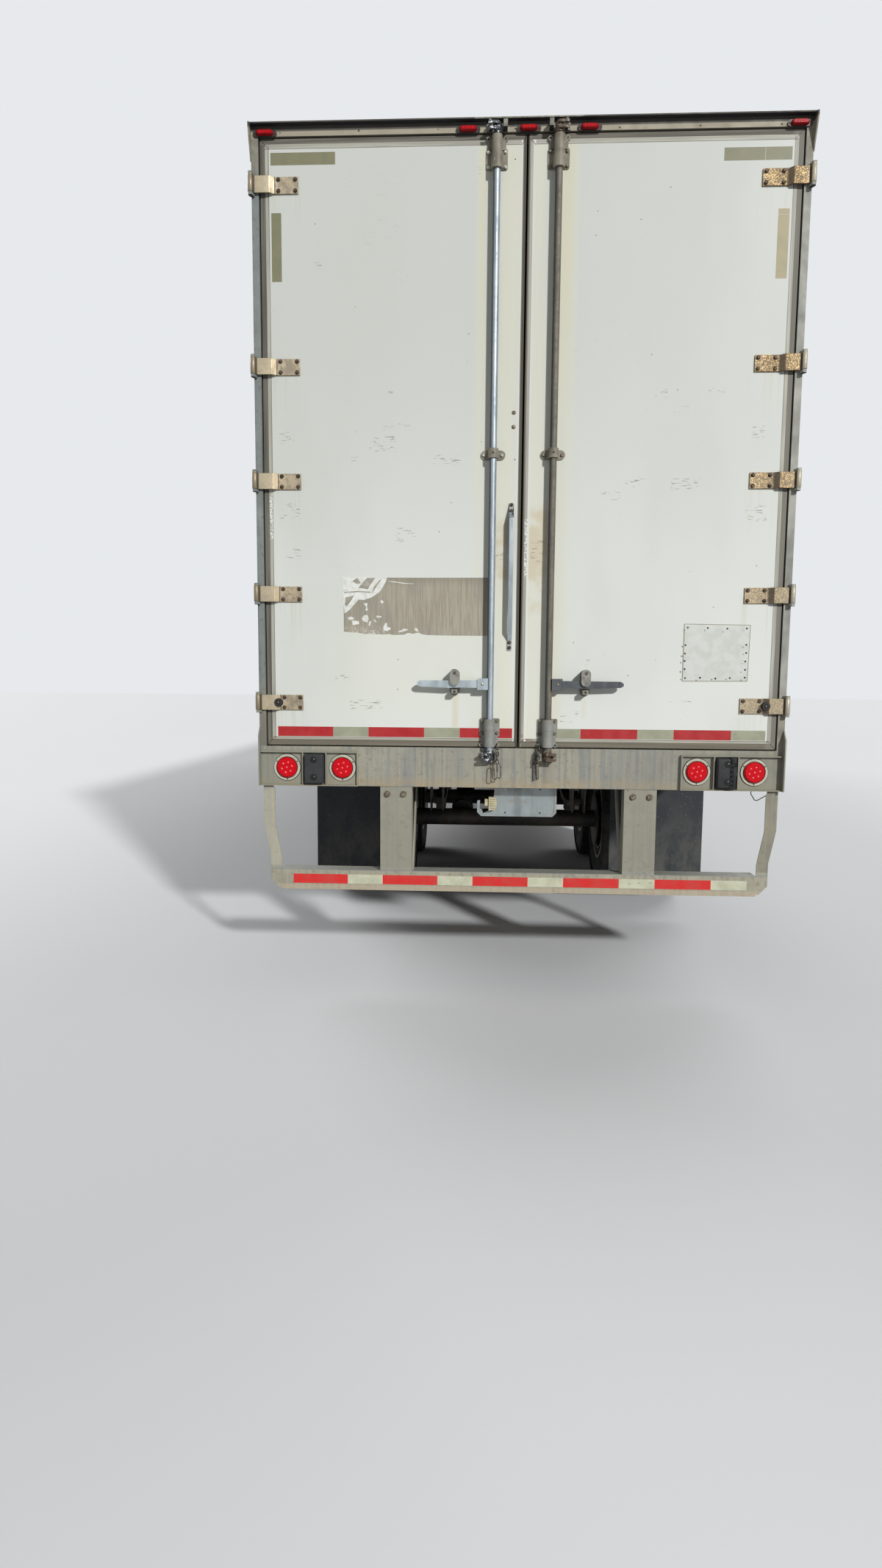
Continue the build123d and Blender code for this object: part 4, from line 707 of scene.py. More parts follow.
class Shape:
    """A mesh under construction, in millimetres with Y forward from the rear frame's face."""

    def __init__(self, *looks):
        self.mesh = bmesh.new()
        self.looks = list(looks)
        self.look = 0

    def use(self, look):
        """Make what follows in this look."""
        if look not in self.looks:
            self.looks.append(look)
        self.look = self.looks.index(look)
        return self

    def face(self, corners):
        made = self.mesh.faces.new(corners)
        made.material_index = self.look
        return made

    def loops(self, rings, closed=True, caps=True):
        """Skin a list of rings, each a list of points of one length."""
        rows = [[self.mesh.verts.new(place(*p)) for p in ring] for ring in rings]
        count = len(rows[0])
        for low, high in zip(rows, rows[1:]):
            for i in range(count if closed else count - 1):
                j = (i + 1) % count
                self.face((low[i], low[j], high[j], high[i]))
        if caps and closed:
            self.face(rows[0][::-1])
            self.face(rows[-1])

    def prism(self, points, axis, a, b):
        """A flat outline carried from a to b along an axis: (y, z), (x, z) or (x, y) points."""
        def spot(p, t):
            return {"x": (t, p[0], p[1]), "y": (p[0], t, p[1]), "z": (p[0], p[1], t)}[axis]
        self.loops([[spot(p, a) for p in points], [spot(p, b) for p in points]])

    def box(self, x, y, z):
        self.prism([(x[0], z[0]), (x[1], z[0]), (x[1], z[1]), (x[0], z[1])], "y", *y)

    def turned(self, profile, centre, axis, sides=16, caps=True):
        """Turn (along, radius) points about an axis through centre."""
        rings = []
        for along, radius in profile:
            ring = []
            for u, v in around(radius, sides, math.pi / sides):
                offset = {"x": (along, u, v), "y": (u, along, v), "z": (u, v, along)}[axis]
                ring.append(tuple(c + o for c, o in zip(centre, offset)))
            rings.append(ring)
        self.loops(rings, caps=caps)

    def disc(self, centre, axis, radius, height, sides):
        self.turned([(0, radius), (height, radius)], centre, axis, sides)

    def rivet(self, centre, axis, radius, height, sides=8):
        """A low domed head. A negative height stands towards the negative end of its axis."""
        profile = [(0, radius), (height * 0.6, radius * 0.8), (height, radius * 0.35)]
        self.turned(profile, centre, axis, sides)

    def bolt(self, centre, axis, across, height, washer=0.0):
        """A hexagon head with a chamfered crown, on a washer if one is given."""
        base = 0.0
        if washer:
            base = math.copysign(2.0, height)
            self.disc(centre, axis, washer, base, 18)
        r = across / math.sqrt(3)
        self.turned([(base, r), (base + height * 0.8, r), (base + height, r * 0.8)], centre, axis, 6)

    def tube(self, path, radius, sides=8, closed=False):
        """A round bar along a path of points."""
        spots = [Vector(p) for p in path]
        count = len(spots)
        rings = []
        side_way = None
        for i, spot in enumerate(spots):
            before = spots[(i - 1) % count] if closed or i else spot
            after = spots[(i + 1) % count] if closed or i < count - 1 else spot
            ahead = (after - before).normalized()
            if side_way is None:
                seed = Vector((0, 0, 1)) if abs(ahead.z) < 0.9 else Vector((1, 0, 0))
                side_way = ahead.cross(seed).normalized()
            side_way = (side_way - ahead * side_way.dot(ahead)).normalized()
            third = ahead.cross(side_way)
            rings.append([tuple(spot + (side_way * u + third * v) * radius) for u, v in around(1, sides)])
        if closed:
            rings.append(rings[0])
            self.loops(rings, caps=False)
            bmesh.ops.remove_doubles(self.mesh, verts=self.mesh.verts, dist=1e-7)
        else:
            self.loops(rings)

    def done(self, name, body, angle=38, bevel=0.0, replaces=()):
        """Make the piece, ride it on its body, and hide the nodes that it stands for."""
        bmesh.ops.recalc_face_normals(self.mesh, faces=self.mesh.faces)
        data = bpy.data.meshes.new(name)
        self.mesh.to_mesh(data)
        self.mesh.free()
        data.shade_smooth()
        data.set_sharp_from_angle(angle=math.radians(angle))
        piece = put(name, data)
        for look in self.looks:
            data.materials.append(MATERIALS[look])
        if bevel:
            edge = piece.modifiers.new("edge", "BEVEL")
            edge.width = bevel * MM
            edge.segments = 2
            edge.limit_method = "ANGLE"
            edge.angle_limit = math.radians(50)
        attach(piece, body)
        if replaces:
            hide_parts(*replaces)


# Tapes: red and white strips along the doors' foot and the guard, olive and tan corner strips on the doors
TAPE_RED = 279
TAPE_WHITE = 178
TAPE_THICK = 0.5
TAPE_LOOKS = ("tape_red", "tape_white")
# Each door's foot strip: its start and end in x, and its looks in turn
FOOT_STRIPS = {"left": (-1207, -32, TAPE_LOOKS), "right": (128, 1209, TAPE_LOOKS[::-1])}
# The x span, z span and look of each corner strip
CORNER_STRIPS = {
    "left": (((-1209, -903), (3942, 3997), "tape_olive"), ((-1208, -1161), (3423, 3731), "tape_olive")),
    "right": (
        ((899, 1085), (3927, 3983), "tape_olive"), ((1087, 1207), (3927, 3983), "tape_olive"),
        ((1156, 1207), (3411, 3691), "tape_tan"), ((1156, 1207), (3693, 3716), "tape_tan"),
    ),
}


def strip(shape, x, end, z, face_y, looks):
    """Segments from x to end that take two looks in turn. Red ones are longer, and the last one is cut off."""
    look, other = looks
    while x < end - 1:
        stop = min(end, x + (TAPE_RED if look.endswith("red") else TAPE_WHITE))
        shape.use(look).box((x, stop), (face_y - TAPE_THICK, face_y), z)
        x, look, other = stop, other, look


def make_tapes():
    for name, side in SIDES:
        shape = Shape()
        start, end, looks = FOOT_STRIPS[name]
        strip(shape, start, end, (1258, 1307), DOOR_FACE, looks)
        for x, z, look in CORNER_STRIPS[name]:
            shape.use(look).box(x, (DOOR_FACE - TAPE_THICK, DOOR_FACE), z)
        shape.done(f"door_{name}_tape", f"door_{name}")
    shape = Shape()
    strip(shape, -1135, 1150, (508, 556), 0, ("guard_red", "guard_white"))
    shape.done("guard_tape", "root")


make_tapes()


# Door hardware: bent straps rolled round their barrels, in place of the plain ones, and all small fixings
STRAP_OUTLINE = (
    (1299, -16), (1214, -16), (1209, -14.5), (1195, -1.5), (1190, 0), (1077, 0), (1077, 8), (1193, 8), (1199, 6),
    (1212, -6.5), (1216, -8), (1299, -8),
)
STRAP_HALF = 37.5
STRAP_BARREL = ((-STRAP_HALF, 11.5), (-36, 12.5), (36, 12.5), (STRAP_HALF, 11.5))
STRAP_BOLT_X = (1091, 1171)
STRAP_FACE = DOOR_FACE - 8
PIN_X = 1299
PIN_Y = -22
STUD_X = 1198
CATCH_X = 320
PIVOT_X = 184
LOCK_FACE = DOOR_FACE - 6


def make_straps(name, side):
    shape = Shape("hinge_metal")
    for z in HINGE_Z:
        shape.prism([(side * x, y) for x, y in STRAP_OUTLINE], "z", z - STRAP_HALF, z + STRAP_HALF)
        shape.turned(STRAP_BARREL, (side * PIN_X, PIN_Y, z), "z", 28)
    shape.done(f"door_{name}_straps", f"door_{name}", bevel=1.2, replaces=[f"door_{name}_hinges"])


def make_door_hardware(name, side):
    shape = Shape()
    for z in HINGE_Z:
        for x in STRAP_BOLT_X:
            for dz in (-25, 25):
                spot = (side * x, STRAP_FACE, z + dz)
                shape.use("dark_bolt").turned([(0, 10), (-3, 10), (-3.5, 7)], spot, "y", 14)
                shape.bolt((side * x, STRAP_FACE - 3, z + dz), "y", 12, -5)
        cap = (side * PIN_X, PIN_Y, z + STRAP_HALF)
        shape.use("hinge_metal").turned([(0, 11), (4, 12), (9, 10), (12, 5)], cap, "z", 18)
    stud = (side * STUD_X, 0, HINGE_Z[0])
    shape.use("black_rubber").turned([(0, 20.5), (-20, 20.5), (-24, 18), (-24, 10)], stud, "y", 28)
    # Painted shade: a near-black disc for the stop's hole.
    shape.use("shadow_dark").turned([(-24, 10), (-24.2, 1)], stud, "y", 20)
    shape.use("old_bolt").rivet((side * STUD_X, -24, HINGE_Z[0]), "y", 4.5, -1.5, 10)
    rod = ROD_X[name]
    head = "bright_bolt" if name == "left" else "old_bolt"
    for z in (3912, 3977):
        for x in (rod - 39, rod + 39):
            shape.use(head).disc((x, LOCK_FACE, z), "y", 9, -2, 14)
            shape.bolt((x, LOCK_FACE - 2, z), "y", 13, -6)
    for x in (rod - 44, rod + 44):
        shape.use(head).bolt((x, LOCK_FACE, 2618), "y", 13, -6, 8)
    # Painted shade: a small near-black disc on the mid bracket.
    shape.use("shadow_dark").disc((rod, -53, 2619), "y", 4, -0.8, 12)
    for z in (1344, 1284):
        for x in (rod - 38, rod + 38):
            shape.use("old_bolt").bolt((x, LOCK_FACE, z), "y", 13, -6, 8.5)
    shape.use("dark_bolt").rivet((side * CATCH_X, -52, 1488), "y", 7, -2, 14)
    shape.use(head).rivet((side * PIVOT_X, -52, 1525), "y", 8, -4, 14)
    if name == "left":
        for z in (2817, 2751):
            shape.use("old_bolt").rivet((-49, DOOR_FACE, z), "y", 10, -6, 18)
        # Painted shade: near-black discs for two small holes in the left door.
        for x, z in ((-60, 3950), (-40, 2600)):
            shape.use("shadow_dark").disc((x, DOOR_FACE, z), "y", 3, -0.3, 8)
    shape.done(f"door_{name}_hardware", f"door_{name}")


for name, side in SIDES:
    make_straps(name, side)
    make_door_hardware(name, side)


# Grab handle: a flat bar bent up from two bolted feet, in place of the plain one. Its side view is (y, z)
GRAB_X = -53
GRAB_SIDE = (
    (8, 1690), (8, 1742), (-30, 1790), (-30, 2322), (8, 2350), (8, 2397), (2, 2397), (2, 2346), (-38, 2318),
    (-38, 1794), (2, 1738), (2, 1690),
)


def make_grab_handle():
    shape = Shape()
    shape.use("bright_handle").prism(GRAB_SIDE, "x", GRAB_X - 11, GRAB_X + 11)
    for z in (1703, 1729, 2360, 2386):
        shape.use("old_bolt").disc((GRAB_X, 2, z), "y", 10, -3, 16)
        shape.use("dark_bolt").bolt((GRAB_X, -1, z), "y", 11, -5)
    shape.done("door_left_grab_bar", "door_left", bevel=2.5, replaces=["grab_handle"])


make_grab_handle()


# Tie-back chains: small welded links from the bottom brackets' ears, and long end links
LINK_LENGTH = 23
LINK_WIDTH = 12
LINK_WIRE = 2.3
LINK_PITCH = 17.4
# Each door's hanging runs, and the centre, length's way, width's way, length and width of its long links
CHAINS = {
    "left": (
        (((-105, -8, 1232), (-104, -14, 1214), (-104, -51, 1194), (-104, -51, 1134)),),
        (
            ((-115, -51, 1096), (-0.06, 0, -1), (1, 0, -0.06), 78, 22),
            ((-97, -51, 1100), (0.06, 0, -1), (1, 0, 0.06), 72, 18),
        ),
    ),
    "right": (
        (
            ((101, -8, 1232), (92, -10, 1206), (84, -11, 1172), (79, -10, 1134)),
            ((103, -14, 1216), (99, -51, 1194), (95, -51, 1140)),
        ),
        (
            ((78, -11, 1092), (0, 0, -1), (0.5, -0.87, 0), 84, 15),
            ((95, -11, 1096), (0.05, 0, -1), (0.55, -0.83, 0.02), 78, 15),
        ),
    ),
}


def link(shape, centre, along, across, length, width, wire, sides=6, steps=4):
    """One closed link: two straights and two half turns."""
    r = width / 2
    path = []
    for end in (1, -1):
        for k in range(steps + 1):
            turn = math.pi * k / steps
            u, v = end * (length / 2 - r + r * math.sin(turn)), end * r * math.cos(turn)
            path.append(tuple(Vector(centre) + along * u + across * v))
    shape.tube(path, wire, sides, closed=True)


def hang(shape, path):
    """Links laid end to end down a path, each turned a quarter from the one before."""
    spots = [Vector(p) for p in path]
    twist = False
    for start, end in zip(spots, spots[1:]):
        count = max(1, round((end - start).length / LINK_PITCH))
        along = (end - start).normalized()
        level = along.cross(Vector((0, 1, 0))).normalized()
        for k in range(count):
            across = level if twist else along.cross(level)
            link(shape, start.lerp(end, (k + 0.5) / count), along, across, LINK_LENGTH, LINK_WIDTH, LINK_WIRE)
            twist = not twist


for name, (runs, ends) in CHAINS.items():
    chain = Shape("chain_steel")
    for run in runs:
        hang(chain, run)
    for centre, along, across, length, width in ends:
        link(chain, centre, Vector(along).normalized(), Vector(across).normalized(), length, width, 2.4, 8, 6)
    chain.done(f"door_{name}_chain", f"door_{name}", angle=60)


# The riveted repair plate on the right door and the torn sticker on the left one. Outlines are (x, z)
PLATE = ((797, 1549), (1106, 1551), (1111, 1816), (799, 1820))
PLATE_BEAD = ((795, 1546), (1109, 1548), (1114, 1819), (796, 1823))
PLATE_PROUD = 1.4
# Where each row of rivets starts and ends, and how many it has
PLATE_RIVETS = (
    ((812, 1804), (1095, 1804), 4), ((809, 1562), (1095, 1564), 5), ((806, 1722), (806, 1606), 4),
    ((1099, 1724), (1097, 1606), 4),
)
GLUE = (
    (-872, 2042), (-492, 2041), (-176, 2042), (-158, 2042), (-158, 1760), (-172, 1761), (-392, 1762), (-462, 1764),
    (-485, 1768), (-501, 1776), (-514, 1773), (-532, 1769), (-542, 1773), (-557, 1773), (-572, 1765), (-624, 1763),
    (-648, 1768), (-673, 1765), (-741, 1768), (-770, 1767), (-799, 1773), (-834, 1775), (-872, 1778),
)
FILM_WHITE = (
    (
        (-876, 2043), (-821, 2043), (-740, 2042), (-657, 2042), (-663, 2022), (-679, 1993), (-694, 1972), (-711, 1960),
        (-737, 1944), (-770, 1933), (-799, 1934), (-820, 1910), (-842, 1885), (-868, 1867), (-873, 1927),
    ),
    ((-773, 1917), (-753, 1917), (-757, 1901), (-752, 1882), (-765, 1881), (-760, 1898)),
    ((-851, 1847), (-833, 1852), (-819, 1842), (-829, 1835), (-848, 1836)),
    ((-830, 1833), (-799, 1830), (-794, 1816), (-828, 1810)),
    ((-782, 1846), (-769, 1859), (-753, 1860), (-748, 1839), (-754, 1824), (-759, 1825), (-777, 1830)),
    ((-745, 1828), (-736, 1830), (-741, 1810), (-749, 1806)),
    ((-708, 1858), (-683, 1854), (-688, 1847), (-711, 1847)),
    ((-724, 1839), (-717, 1837), (-707, 1825), (-717, 1825)),
    ((-676, 1801), (-665, 1823), (-656, 1819), (-657, 1802), (-642, 1800), (-638, 1791), (-659, 1781), (-674, 1786)),
    ((-692, 1927), (-682, 1933), (-673, 1922), (-682, 1915)),
    ((-657, 2025), (-631, 2024), (-567, 2015), (-524, 2013), (-527, 2011), (-572, 2012), (-631, 2020)),
    ((-607, 1776), (-572, 1795), (-553, 1791), (-560, 1785), (-583, 1778)),
    ((-520, 1797), (-508, 1797), (-500, 1779), (-511, 1782), (-520, 1788)),
)
FILM_GREY = (
    ((-829, 2024), (-804, 2041), (-786, 2014), (-807, 2010)),
    ((-782, 2012), (-757, 2039), (-714, 2041), (-739, 2007), (-752, 1984), (-775, 1989), (-799, 1991)),
    ((-723, 1996), (-695, 2028), (-681, 2037), (-706, 2003), (-733, 1961)),
    ((-871, 1971), (-799, 1977), (-737, 1973), (-740, 1967), (-799, 1971), (-869, 1966)),
    ((-867, 1909), (-862, 1945), (-820, 1955), (-834, 1931), (-857, 1900)),
)
STICKER = (("glue_left", 0.3, (GLUE,)), ("film_white", 0.8, FILM_WHITE), ("film_grey", 1.1, FILM_GREY))


def make_door_patches():
    shape = Shape()
    face = DOOR_FACE - PLATE_PROUD
    shape.use("repair_plate").prism(PLATE, "y", DOOR_FACE, face)
    for (x0, z0), (x1, z1), count in PLATE_RIVETS:
        for k in range(count):
            t = k / (count - 1)
            x, z = x0 + (x1 - x0) * t + RANDOM.uniform(-3, 3), z0 + (z1 - z0) * t + RANDOM.uniform(-3, 3)
            shape.use("dark_bolt").rivet((x, face, z), "y", 5, -1.6, 10)
            beside = (x + RANDOM.uniform(-20, -12), face, z - RANDOM.uniform(4, 14))
            shape.use("rivet_head").rivet(beside, "y", 4.5, -1.2, 10)
    shape.use("glue_left")
    for (xa, za), (xb, zb) in zip(PLATE_BEAD, PLATE_BEAD[1:] + PLATE_BEAD[:1]):
        shape.tube([(xa, DOOR_FACE, za), (xb, DOOR_FACE, zb)], 1.6, 6)
    shape.done("door_right_repair_plate", "door_right")
    shape = Shape()
    for look, proud, outlines in STICKER:
        for outline in outlines:
            shape.use(look).prism(outline, "y", DOOR_FACE, DOOR_FACE - proud)
    shape.done("door_left_torn_sticker", "door_left")


make_door_patches()


# Mitred corners of the door frames and seals: thin dark joints from corner to corner
def make_mitres(name):
    shape = Shape("shadow_dark")
    panel, trim, seal = (span(f"door_{name}_{part}") for part in ("panel", "frame", "seal"))
    for inner, outer in ((panel, trim), (trim, seal)):
        for end_x in (0, 1):
            for end_z in (0, 1):
                a, b = (Vector((box[0][end_x], outer[1][0], box[2][end_z])) for box in (inner, outer))
                wide = (b - a).cross(Vector((0, 1, 0))).normalized() * 0.9
                ring = [a + wide, b + wide, b - wide, a - wide]
                shape.loops([[tuple(p) for p in ring], [(p.x, p.y - 0.35, p.z) for p in ring]])
    shape.done(f"door_{name}_mitres", f"door_{name}")


for name, side in SIDES:
    make_mitres(name)


# Lamps: the round ones' diodes, screws and dark rims of painted shade, and domed clearance lamps in place of the plain
# ones
LAMP_X = (880, 1160)
LAMP_Z = 1102
# Radius, y, thickness and points of a round lamp's dark rims, which are painted shade round its lens and ring
LAMP_RIMS = ((52.5, -9, 2.0, 32), (67.5, -0.5, 1.6, 40))
MARKER_X = (-1231, -280, 0, 280, 1231)
MARKER_Z = 4075
HEADER_RIVETS = (
    (-1160, 4080, 3), (-790, 4083, 5), (-420, 4080, 3), (-62, 4078, 4), (417, 4074, 4), (784, 4075, 4), (1151, 4074, 5),
)


def stadium(x, z, length, height, steps=8):
    """A rounded-end outline about (x, z)."""
    r = height / 2
    points = []
    for way in (1, -1):
        for k in range(steps + 1):
            turn = way * (math.pi / 2 - math.pi * k / steps)
            points.append((x + way * (length / 2 - r + r * math.cos(turn)), z + r * math.sin(turn)))
    return points


def make_lamp_details():
    shape = Shape()
    for name, side in SIDES:
        for x in (side * lamp for lamp in LAMP_X):
            for u, v in (*around(26, 6, 0.26), (0, 0)):
                shape.use("red_dot").rivet((x + u, -14, LAMP_Z + v), "y", 4.5, -1.5, 12)
            for u, v in around(59.5, 3, -math.pi / 2):
                shape.use("dark_bolt").rivet((x + u, -6, LAMP_Z + v), "y", 4, -2, 10)
            for radius, y, wire, count in LAMP_RIMS:
                rim = [(x + u, y, LAMP_Z + v) for u, v in around(radius, count)]
                shape.use("shadow_dark").tube(rim, wire, 6, closed=True)
    shape.done("lamp_details", "root")
    shape = Shape()
    for x in MARKER_X:
        shape.use("lamp_base").prism(stadium(x, MARKER_Z, 112, 30), "y", -7, 0)
        rings = []
        for y, shrink in ((-7, 0), (-14, 1), (-19, 4), (-22, 9)):
            outline = stadium(x, MARKER_Z + 1, 82 - shrink * 1.5, 24 - shrink)
            rings.append([(px, y, pz) for px, pz in outline])
        # The clearance lamps' lens, in its darker red of painted shade.
        shape.use("marker_lens").loops(rings)
        for screw in (x - 48, x + 48):
            shape.use("dark_bolt").rivet((screw, -7, MARKER_Z), "y", 4.5, -2.5, 12)
        for rib in (x - 21, x - 7, x + 7, x + 21):
            shape.use("red_lens").box((rib - 3.5, rib + 3.5), (-22.5, -21.5), (MARKER_Z - 4, MARKER_Z + 5))
    shape.done("marker_lamps_domed", "root", replaces=["marker_lamps"])
    shape = Shape("dark_bolt")
    for x, z, r in HEADER_RIVETS:
        shape.rivet((x, 0, z), "y", r, -2, 10)
    shape.done("header_rivets", "root")


make_lamp_details()


# Dock bumpers: rounded rubber blocks with two bolt holes, the right one torn down its outer side; the holes and the
# tear are dark pieces of painted shade
DOCK_INNER = 968
DOCK_OUTER = 1072
DOCK_WHOLE = 1040
DOCK_HOLE_X = 1020
DOCK_HOLE_Z = (1056, 1143)
DOCK_TORN = ((1070, -26), (1062, -31), (1054, -38), (1046, -33))
DOCK_BANDS = 7
# How far in from its sides a bumper's outline lies at each y
ROUNDING = ((0, 3), (-34, 3), (-41, 5), (-45, 9), (-46, 14))


def rounded(x, z, radius, steps=4):
    """A rectangle's outline with rounded corners, from the upper right one round to the left."""
    points = []
    for turn, (i, k) in enumerate(((1, 1), (0, 1), (0, 0), (1, 0))):
        for step in range(steps + 1):
            a = math.pi / 2 * (turn + step / steps)
            across, up = (radius * (1 - 2 * end) for end in (i, k))
            points.append((x[i] + across + radius * math.cos(a), z[k] + up + radius * math.sin(a)))
    return points


def make_bumpers():
    shape = Shape()
    low, high = span("dock_bumpers")[2]
    for side, x0, x1 in ((-1, -DOCK_OUTER, -DOCK_INNER), (1, DOCK_INNER, DOCK_WHOLE)):
        rings = []
        for y, inset in ROUNDING:
            outline = rounded((x0 + inset, x1 - inset), (low + inset, high - inset), 8)
            rings.append([(x, y, z) for x, z in outline])
        shape.use("bumper_rubber").loops(rings)
        for z in DOCK_HOLE_Z:
            # Painted shade: a near-black disc for the inside of each bolt hole.
            shape.use("shadow_dark").turned([(0.5, 17), (-0.4, 17)], (side * DOCK_HOLE_X, -46, z), "y", 20)
            shape.use("old_bolt").rivet((side * DOCK_HOLE_X + 4, -46.4, z + 4), "y", 4, -1, 10)
    edges = [low + (high - low) * k / DOCK_BANDS for k in range(DOCK_BANDS + 1)]
    for foot, head in zip(edges, edges[1:]):
        ragged = [(x + RANDOM.uniform(-6, 2), y + RANDOM.uniform(-7, 5)) for x, y in DOCK_TORN]
        outline = [(1036, 0), (DOCK_OUTER, 0), *ragged, (DOCK_WHOLE, -24)]
        shape.use("bumper_rubber").prism(outline, "z", foot, head)
        # Painted shade: a near-black box in the tear.
        tear_shade = (DOCK_WHOLE + RANDOM.uniform(-16, -2), 1048 + RANDOM.uniform(-2, 8))
        shape.use("shadow_dark").box(tear_shade, (-46.6, -38), (foot, head - RANDOM.uniform(0, 7)))
    shape.done("dock_bumpers_worn", "root", 30, replaces=["dock_bumpers"])


make_bumpers()


# Fixings of the guard: the bolts of its posts, and a weld bead along the foot of each
def make_frame_fixings():
    shape = Shape()
    for name, side in SIDES:
        for x in (573, 655):
            shape.use("old_bolt").bolt((side * x, 4, 971), "y", 24, -12, 17)
        shape.use("guard_metal").tube([(side * x, 3, 580) for x in (530, 690)], 4, 8)
    shape.done("rear_fixings", "root")


make_frame_fixings()


# Rivets of the walls: splice strips, rails and the front wall
SEAMS = [60 + seam * 1219 for seam in range(1, 13)]
SEAM_RIVET_Z = [1295 + k * 61 for k in range(44)]
WALL_X = 1294
RAIL_X = 1296


def make_rivets():
    for name, side in SIDES:
        shape = Shape("rivet_head")
        for seam in SEAMS:
            for y in (seam - 30, seam + 30):
                for z in SEAM_RIVET_Z:
                    shape.rivet((side * WALL_X, y, z), "x", 5, side * 2, 6)
        for k in range(250):
            for z in (1240, 1120, 4030):
                shape.rivet((side * RAIL_X, 150 + k * 63.5, z), "x", 5, side * 2, 6)
        shape.done(f"side_rivets_{name}", "root")
    shape = Shape()
    for x in range(-1140, 1141, 380):
        shape.use("wall_white").box((x - 32, x + 32), (NOSE - 5.2, NOSE - 3), (1266, 3981))
        for z in SEAM_RIVET_Z:
            for dx in (-20, 20):
                shape.use("rivet_head").rivet((x + dx, NOSE - 3, z), "y", 5, 2, 6)
    for k in range(36):
        for z in (1240, 1110, 4010, 4070):
            shape.rivet((-1120 + k * 64, NOSE, z), "y", 5, 2, 6)
    shape.done("front_rivets", "root")


make_rivets()


# Tyres with ribs and grooves, in place of the plain ones, and the wheels' nuts
TYRE_R = 505
DUAL_MIDDLE = 984
DUAL_HALF = 163
TREAD_STEPS = 144
TREAD_EDGE = 108
GROOVES = ((-84, -76), (-38, -30), (30, 38), (76, 84))
GROOVE_DEPTH = 12
SIPE_DEPTH = 1.05
LUG_DEPTH = 6
STUD_CIRCLE = 142.9
CAP_CIRCLE = 74


def tyre_section():
    """(across, radius, kind) from bead to bead: kind 1 is a groove floor, 2 a shoulder that carries lugs."""
    half = [(90, 303, 0), (98, 308, 0)]
    least = math.cos(math.pi * 0.36)
    for k in range(11):
        turn = math.pi * (-0.36 + 0.72 * k / 10)
        bulge = 101 + 24 * (math.cos(turn) - least) / (1 - least)
        half.append((bulge + (3 if k in (4, 5) else 0), 318 + 170 * k / 10, 0))
    half += [(126, 494, 2), (116, 502, 2)]
    tread = [(-TREAD_EDGE, TYRE_R, 0)]
    for a, b in GROOVES:
        floor = TYRE_R - GROOVE_DEPTH
        tread += [(a, TYRE_R, 0), (a, floor, 1), (b, floor, 1), (b, TYRE_R, 0)]
    tread.append((TREAD_EDGE, TYRE_R, 0))
    return [(-a, r, kind) for a, r, kind in half] + tread + half[::-1]


def make_tyres(axle, name, side):
    shape = Shape("tyre_rubber")
    section = tyre_section()
    for offset in (-DUAL_HALF, DUAL_HALF):
        middle = side * (DUAL_MIDDLE + offset)
        rings = []
        for step in range(TREAD_STEPS):
            turn = math.tau * (step + 0.5) / TREAD_STEPS
            ring = []
            for across, radius, kind in section:
                if kind == 2 and step % 4 == 0:
                    radius -= LUG_DEPTH
                elif kind == 0 and radius == TYRE_R and step % 2 == 0:
                    radius -= SIPE_DEPTH
                y, z = AXLES[axle] + radius * math.sin(turn), AXLE_Z - radius * math.cos(turn)
                ring.append((middle + across, y, z))
            rings.append(ring)
        rings.append(rings[0])
        shape.loops(rings, closed=False, caps=False)
        shape.loops([[ring[0], ring[-1]] for ring in rings], closed=False, caps=False)
    bmesh.ops.remove_doubles(shape.mesh, verts=shape.mesh.verts, dist=1e-6)
    node = f"tyres_{axle}_{name}"
    shape.done(f"tread_{node}", f"wheels_{axle}_{name}", 32, replaces=[node])


def make_wheel_nuts(axle, name, side):
    shape = Shape()
    y = AXLES[axle]
    face = side * (DUAL_MIDDLE + 12)
    for dy, dz in around(STUD_CIRCLE, 10):
        spot = (face, y + dy, AXLE_Z + dz)
        shape.use("old_bolt").turned([(0, 23), (side * 5, 22), (side * 5, 17)], spot, "x", 16)
        shape.bolt((face + side * 5, y + dy, AXLE_Z + dz), "x", 33, side * 22)
        shape.use("dark_bolt").turned([(0, 10), (side * 34, 10), (side * 36, 8)], spot, "x", 12)
    for dy, dz in around(CAP_CIRCLE, 8, math.pi / 8):
        shape.use("bright_bolt").bolt((side * (DUAL_MIDDLE + 121), y + dy, AXLE_Z + dz), "x", 12, side * 6)
    shape.done(f"wheel_nuts_{axle}_{name}", f"wheels_{axle}_{name}")


for axle in AXLES:
    for name, side in SIDES:
        make_tyres(axle, name, side)
        make_wheel_nuts(axle, name, side)


# Studio: a pale floor, a pale sky and soft suns. Floor and sky look paler than the light that they give
FLOOR_HALF = 90.0
FLOOR_TONE = (0.70, 0.71, 0.72, 1.0)
FLOOR_WORN = (0.66, 0.67, 0.68, 1.0)
FLOOR_BOUNCE = (0.30, 0.30, 0.31, 1.0)
SKY_TONE = (0.80, 0.82, 0.84, 1.0)
SKY_LIGHT = 0.17

floor_data = bpy.data.meshes.new("studio_floor")
corners = [(x * FLOOR_HALF, y * FLOOR_HALF, 0) for x, y in ((-1, -1), (1, -1), (1, 1), (-1, 1))]
floor_data.from_pydata(corners, [], [(0, 1, 2, 3)])
ground = Finish("studio_floor", 0.8, specular=0.2)
pale = ground.mix(ground.ramp(ground.noise(0.15, 2), 0.3, 0.7, 0, 0.12), FLOOR_TONE, FLOOR_WORN)
ground.base(ground.shown(), FLOOR_BOUNCE, pale)
floor_data.materials.append(ground.material)
put("studio_floor", floor_data)

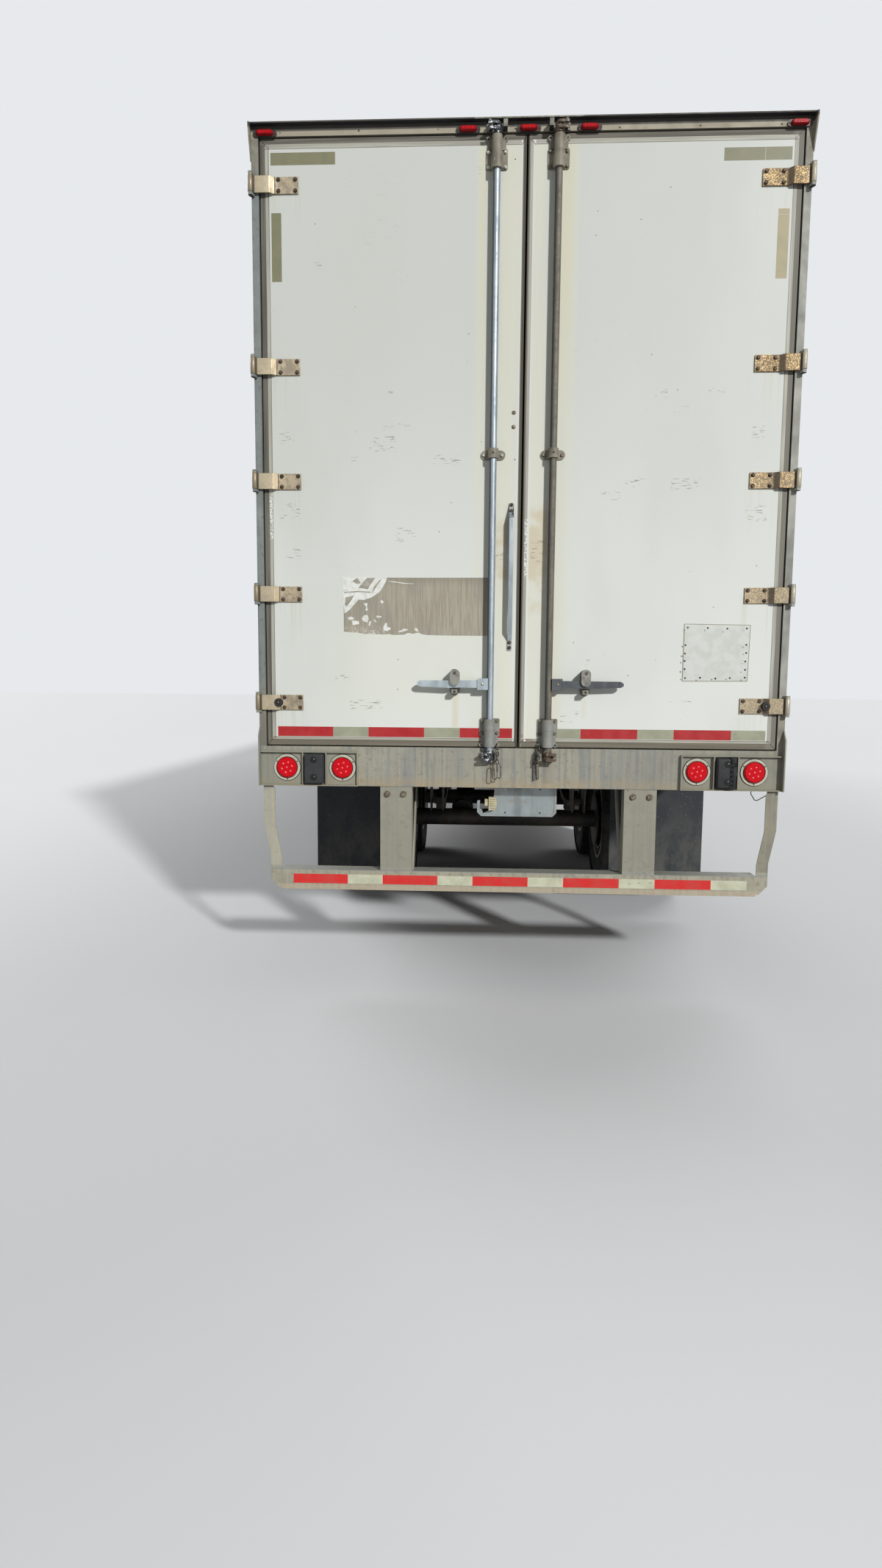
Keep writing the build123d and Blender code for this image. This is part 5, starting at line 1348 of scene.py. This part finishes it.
world = bpy.data.worlds.new("studio")
world.use_nodes = True
bpy.context.scene.world = world
sky = Nodes(world.node_tree)
background = world.node_tree.nodes["Background"].inputs
background["Color"].default_value = SKY_TONE
level = sky.node("ShaderNodeMapRange", {"Value": sky.shown(), "To Min": SKY_LIGHT, "To Max": 1.0})
sky.feed(background["Strength"], level.outputs[0])

# Soft suns: their heading, clockwise from straight behind, and height in degrees, strength, and spread in degrees
SUNS = (
    ("key", 30, 25, 2.8, 4),
    ("fill", -55, 26, 0.2, 40),
    ("front_right", 150, 38, 1.1, 30),
    ("front_left", -140, 32, 1.3, 30),
)
for label, heading, height, strength, spread in SUNS:
    lamp = bpy.data.lights.new(label, "SUN")
    lamp.energy = strength
    lamp.angle = math.radians(spread)
    sun = put(label, lamp)
    h, e = math.radians(heading), math.radians(height)
    toward = Vector((math.sin(h) * math.cos(e), -math.cos(h) * math.cos(e), math.sin(e)))
    sun.rotation_mode = "QUATERNION"
    sun.rotation_quaternion = toward.to_track_quat("Z", "Y")
    sun.location = toward * 20

# Camera: the photograph's own view, found from the trailer's straight edges
IMAGE_HEIGHT = 2133
FOCAL_PIXELS = 1227.77
SENSOR = 36.0
CAMERA_PLACE = (-180.7, -4494.3, 1531.8)
CAMERA_YAW = 0.0452
CAMERA_PITCH = 0.1121
CAMERA_ROLL = 0.0074
camera_data = bpy.data.cameras.new("camera")
camera_data.sensor_width = SENSOR
camera_data.lens = FOCAL_PIXELS / IMAGE_HEIGHT * SENSOR
camera_data.clip_end = 500
camera = put("camera", camera_data)
bpy.context.scene.camera = camera
up = Vector((0, 0, 1))
level_ahead = Vector((-math.sin(CAMERA_YAW), math.cos(CAMERA_YAW), 0))
level_right = Vector((math.cos(CAMERA_YAW), math.sin(CAMERA_YAW), 0))
ahead = level_ahead * math.cos(CAMERA_PITCH) - up * math.sin(CAMERA_PITCH)
head = up * math.cos(CAMERA_PITCH) + level_ahead * math.sin(CAMERA_PITCH)
right = level_right * math.cos(CAMERA_ROLL) + head * math.sin(CAMERA_ROLL)
head = head * math.cos(CAMERA_ROLL) - level_right * math.sin(CAMERA_ROLL)
camera.matrix_world = Matrix.Translation(place(*CAMERA_PLACE)) @ Matrix((right, head, -ahead)).transposed().to_4x4()

scene = bpy.context.scene
scene.view_settings.view_transform = "Standard"
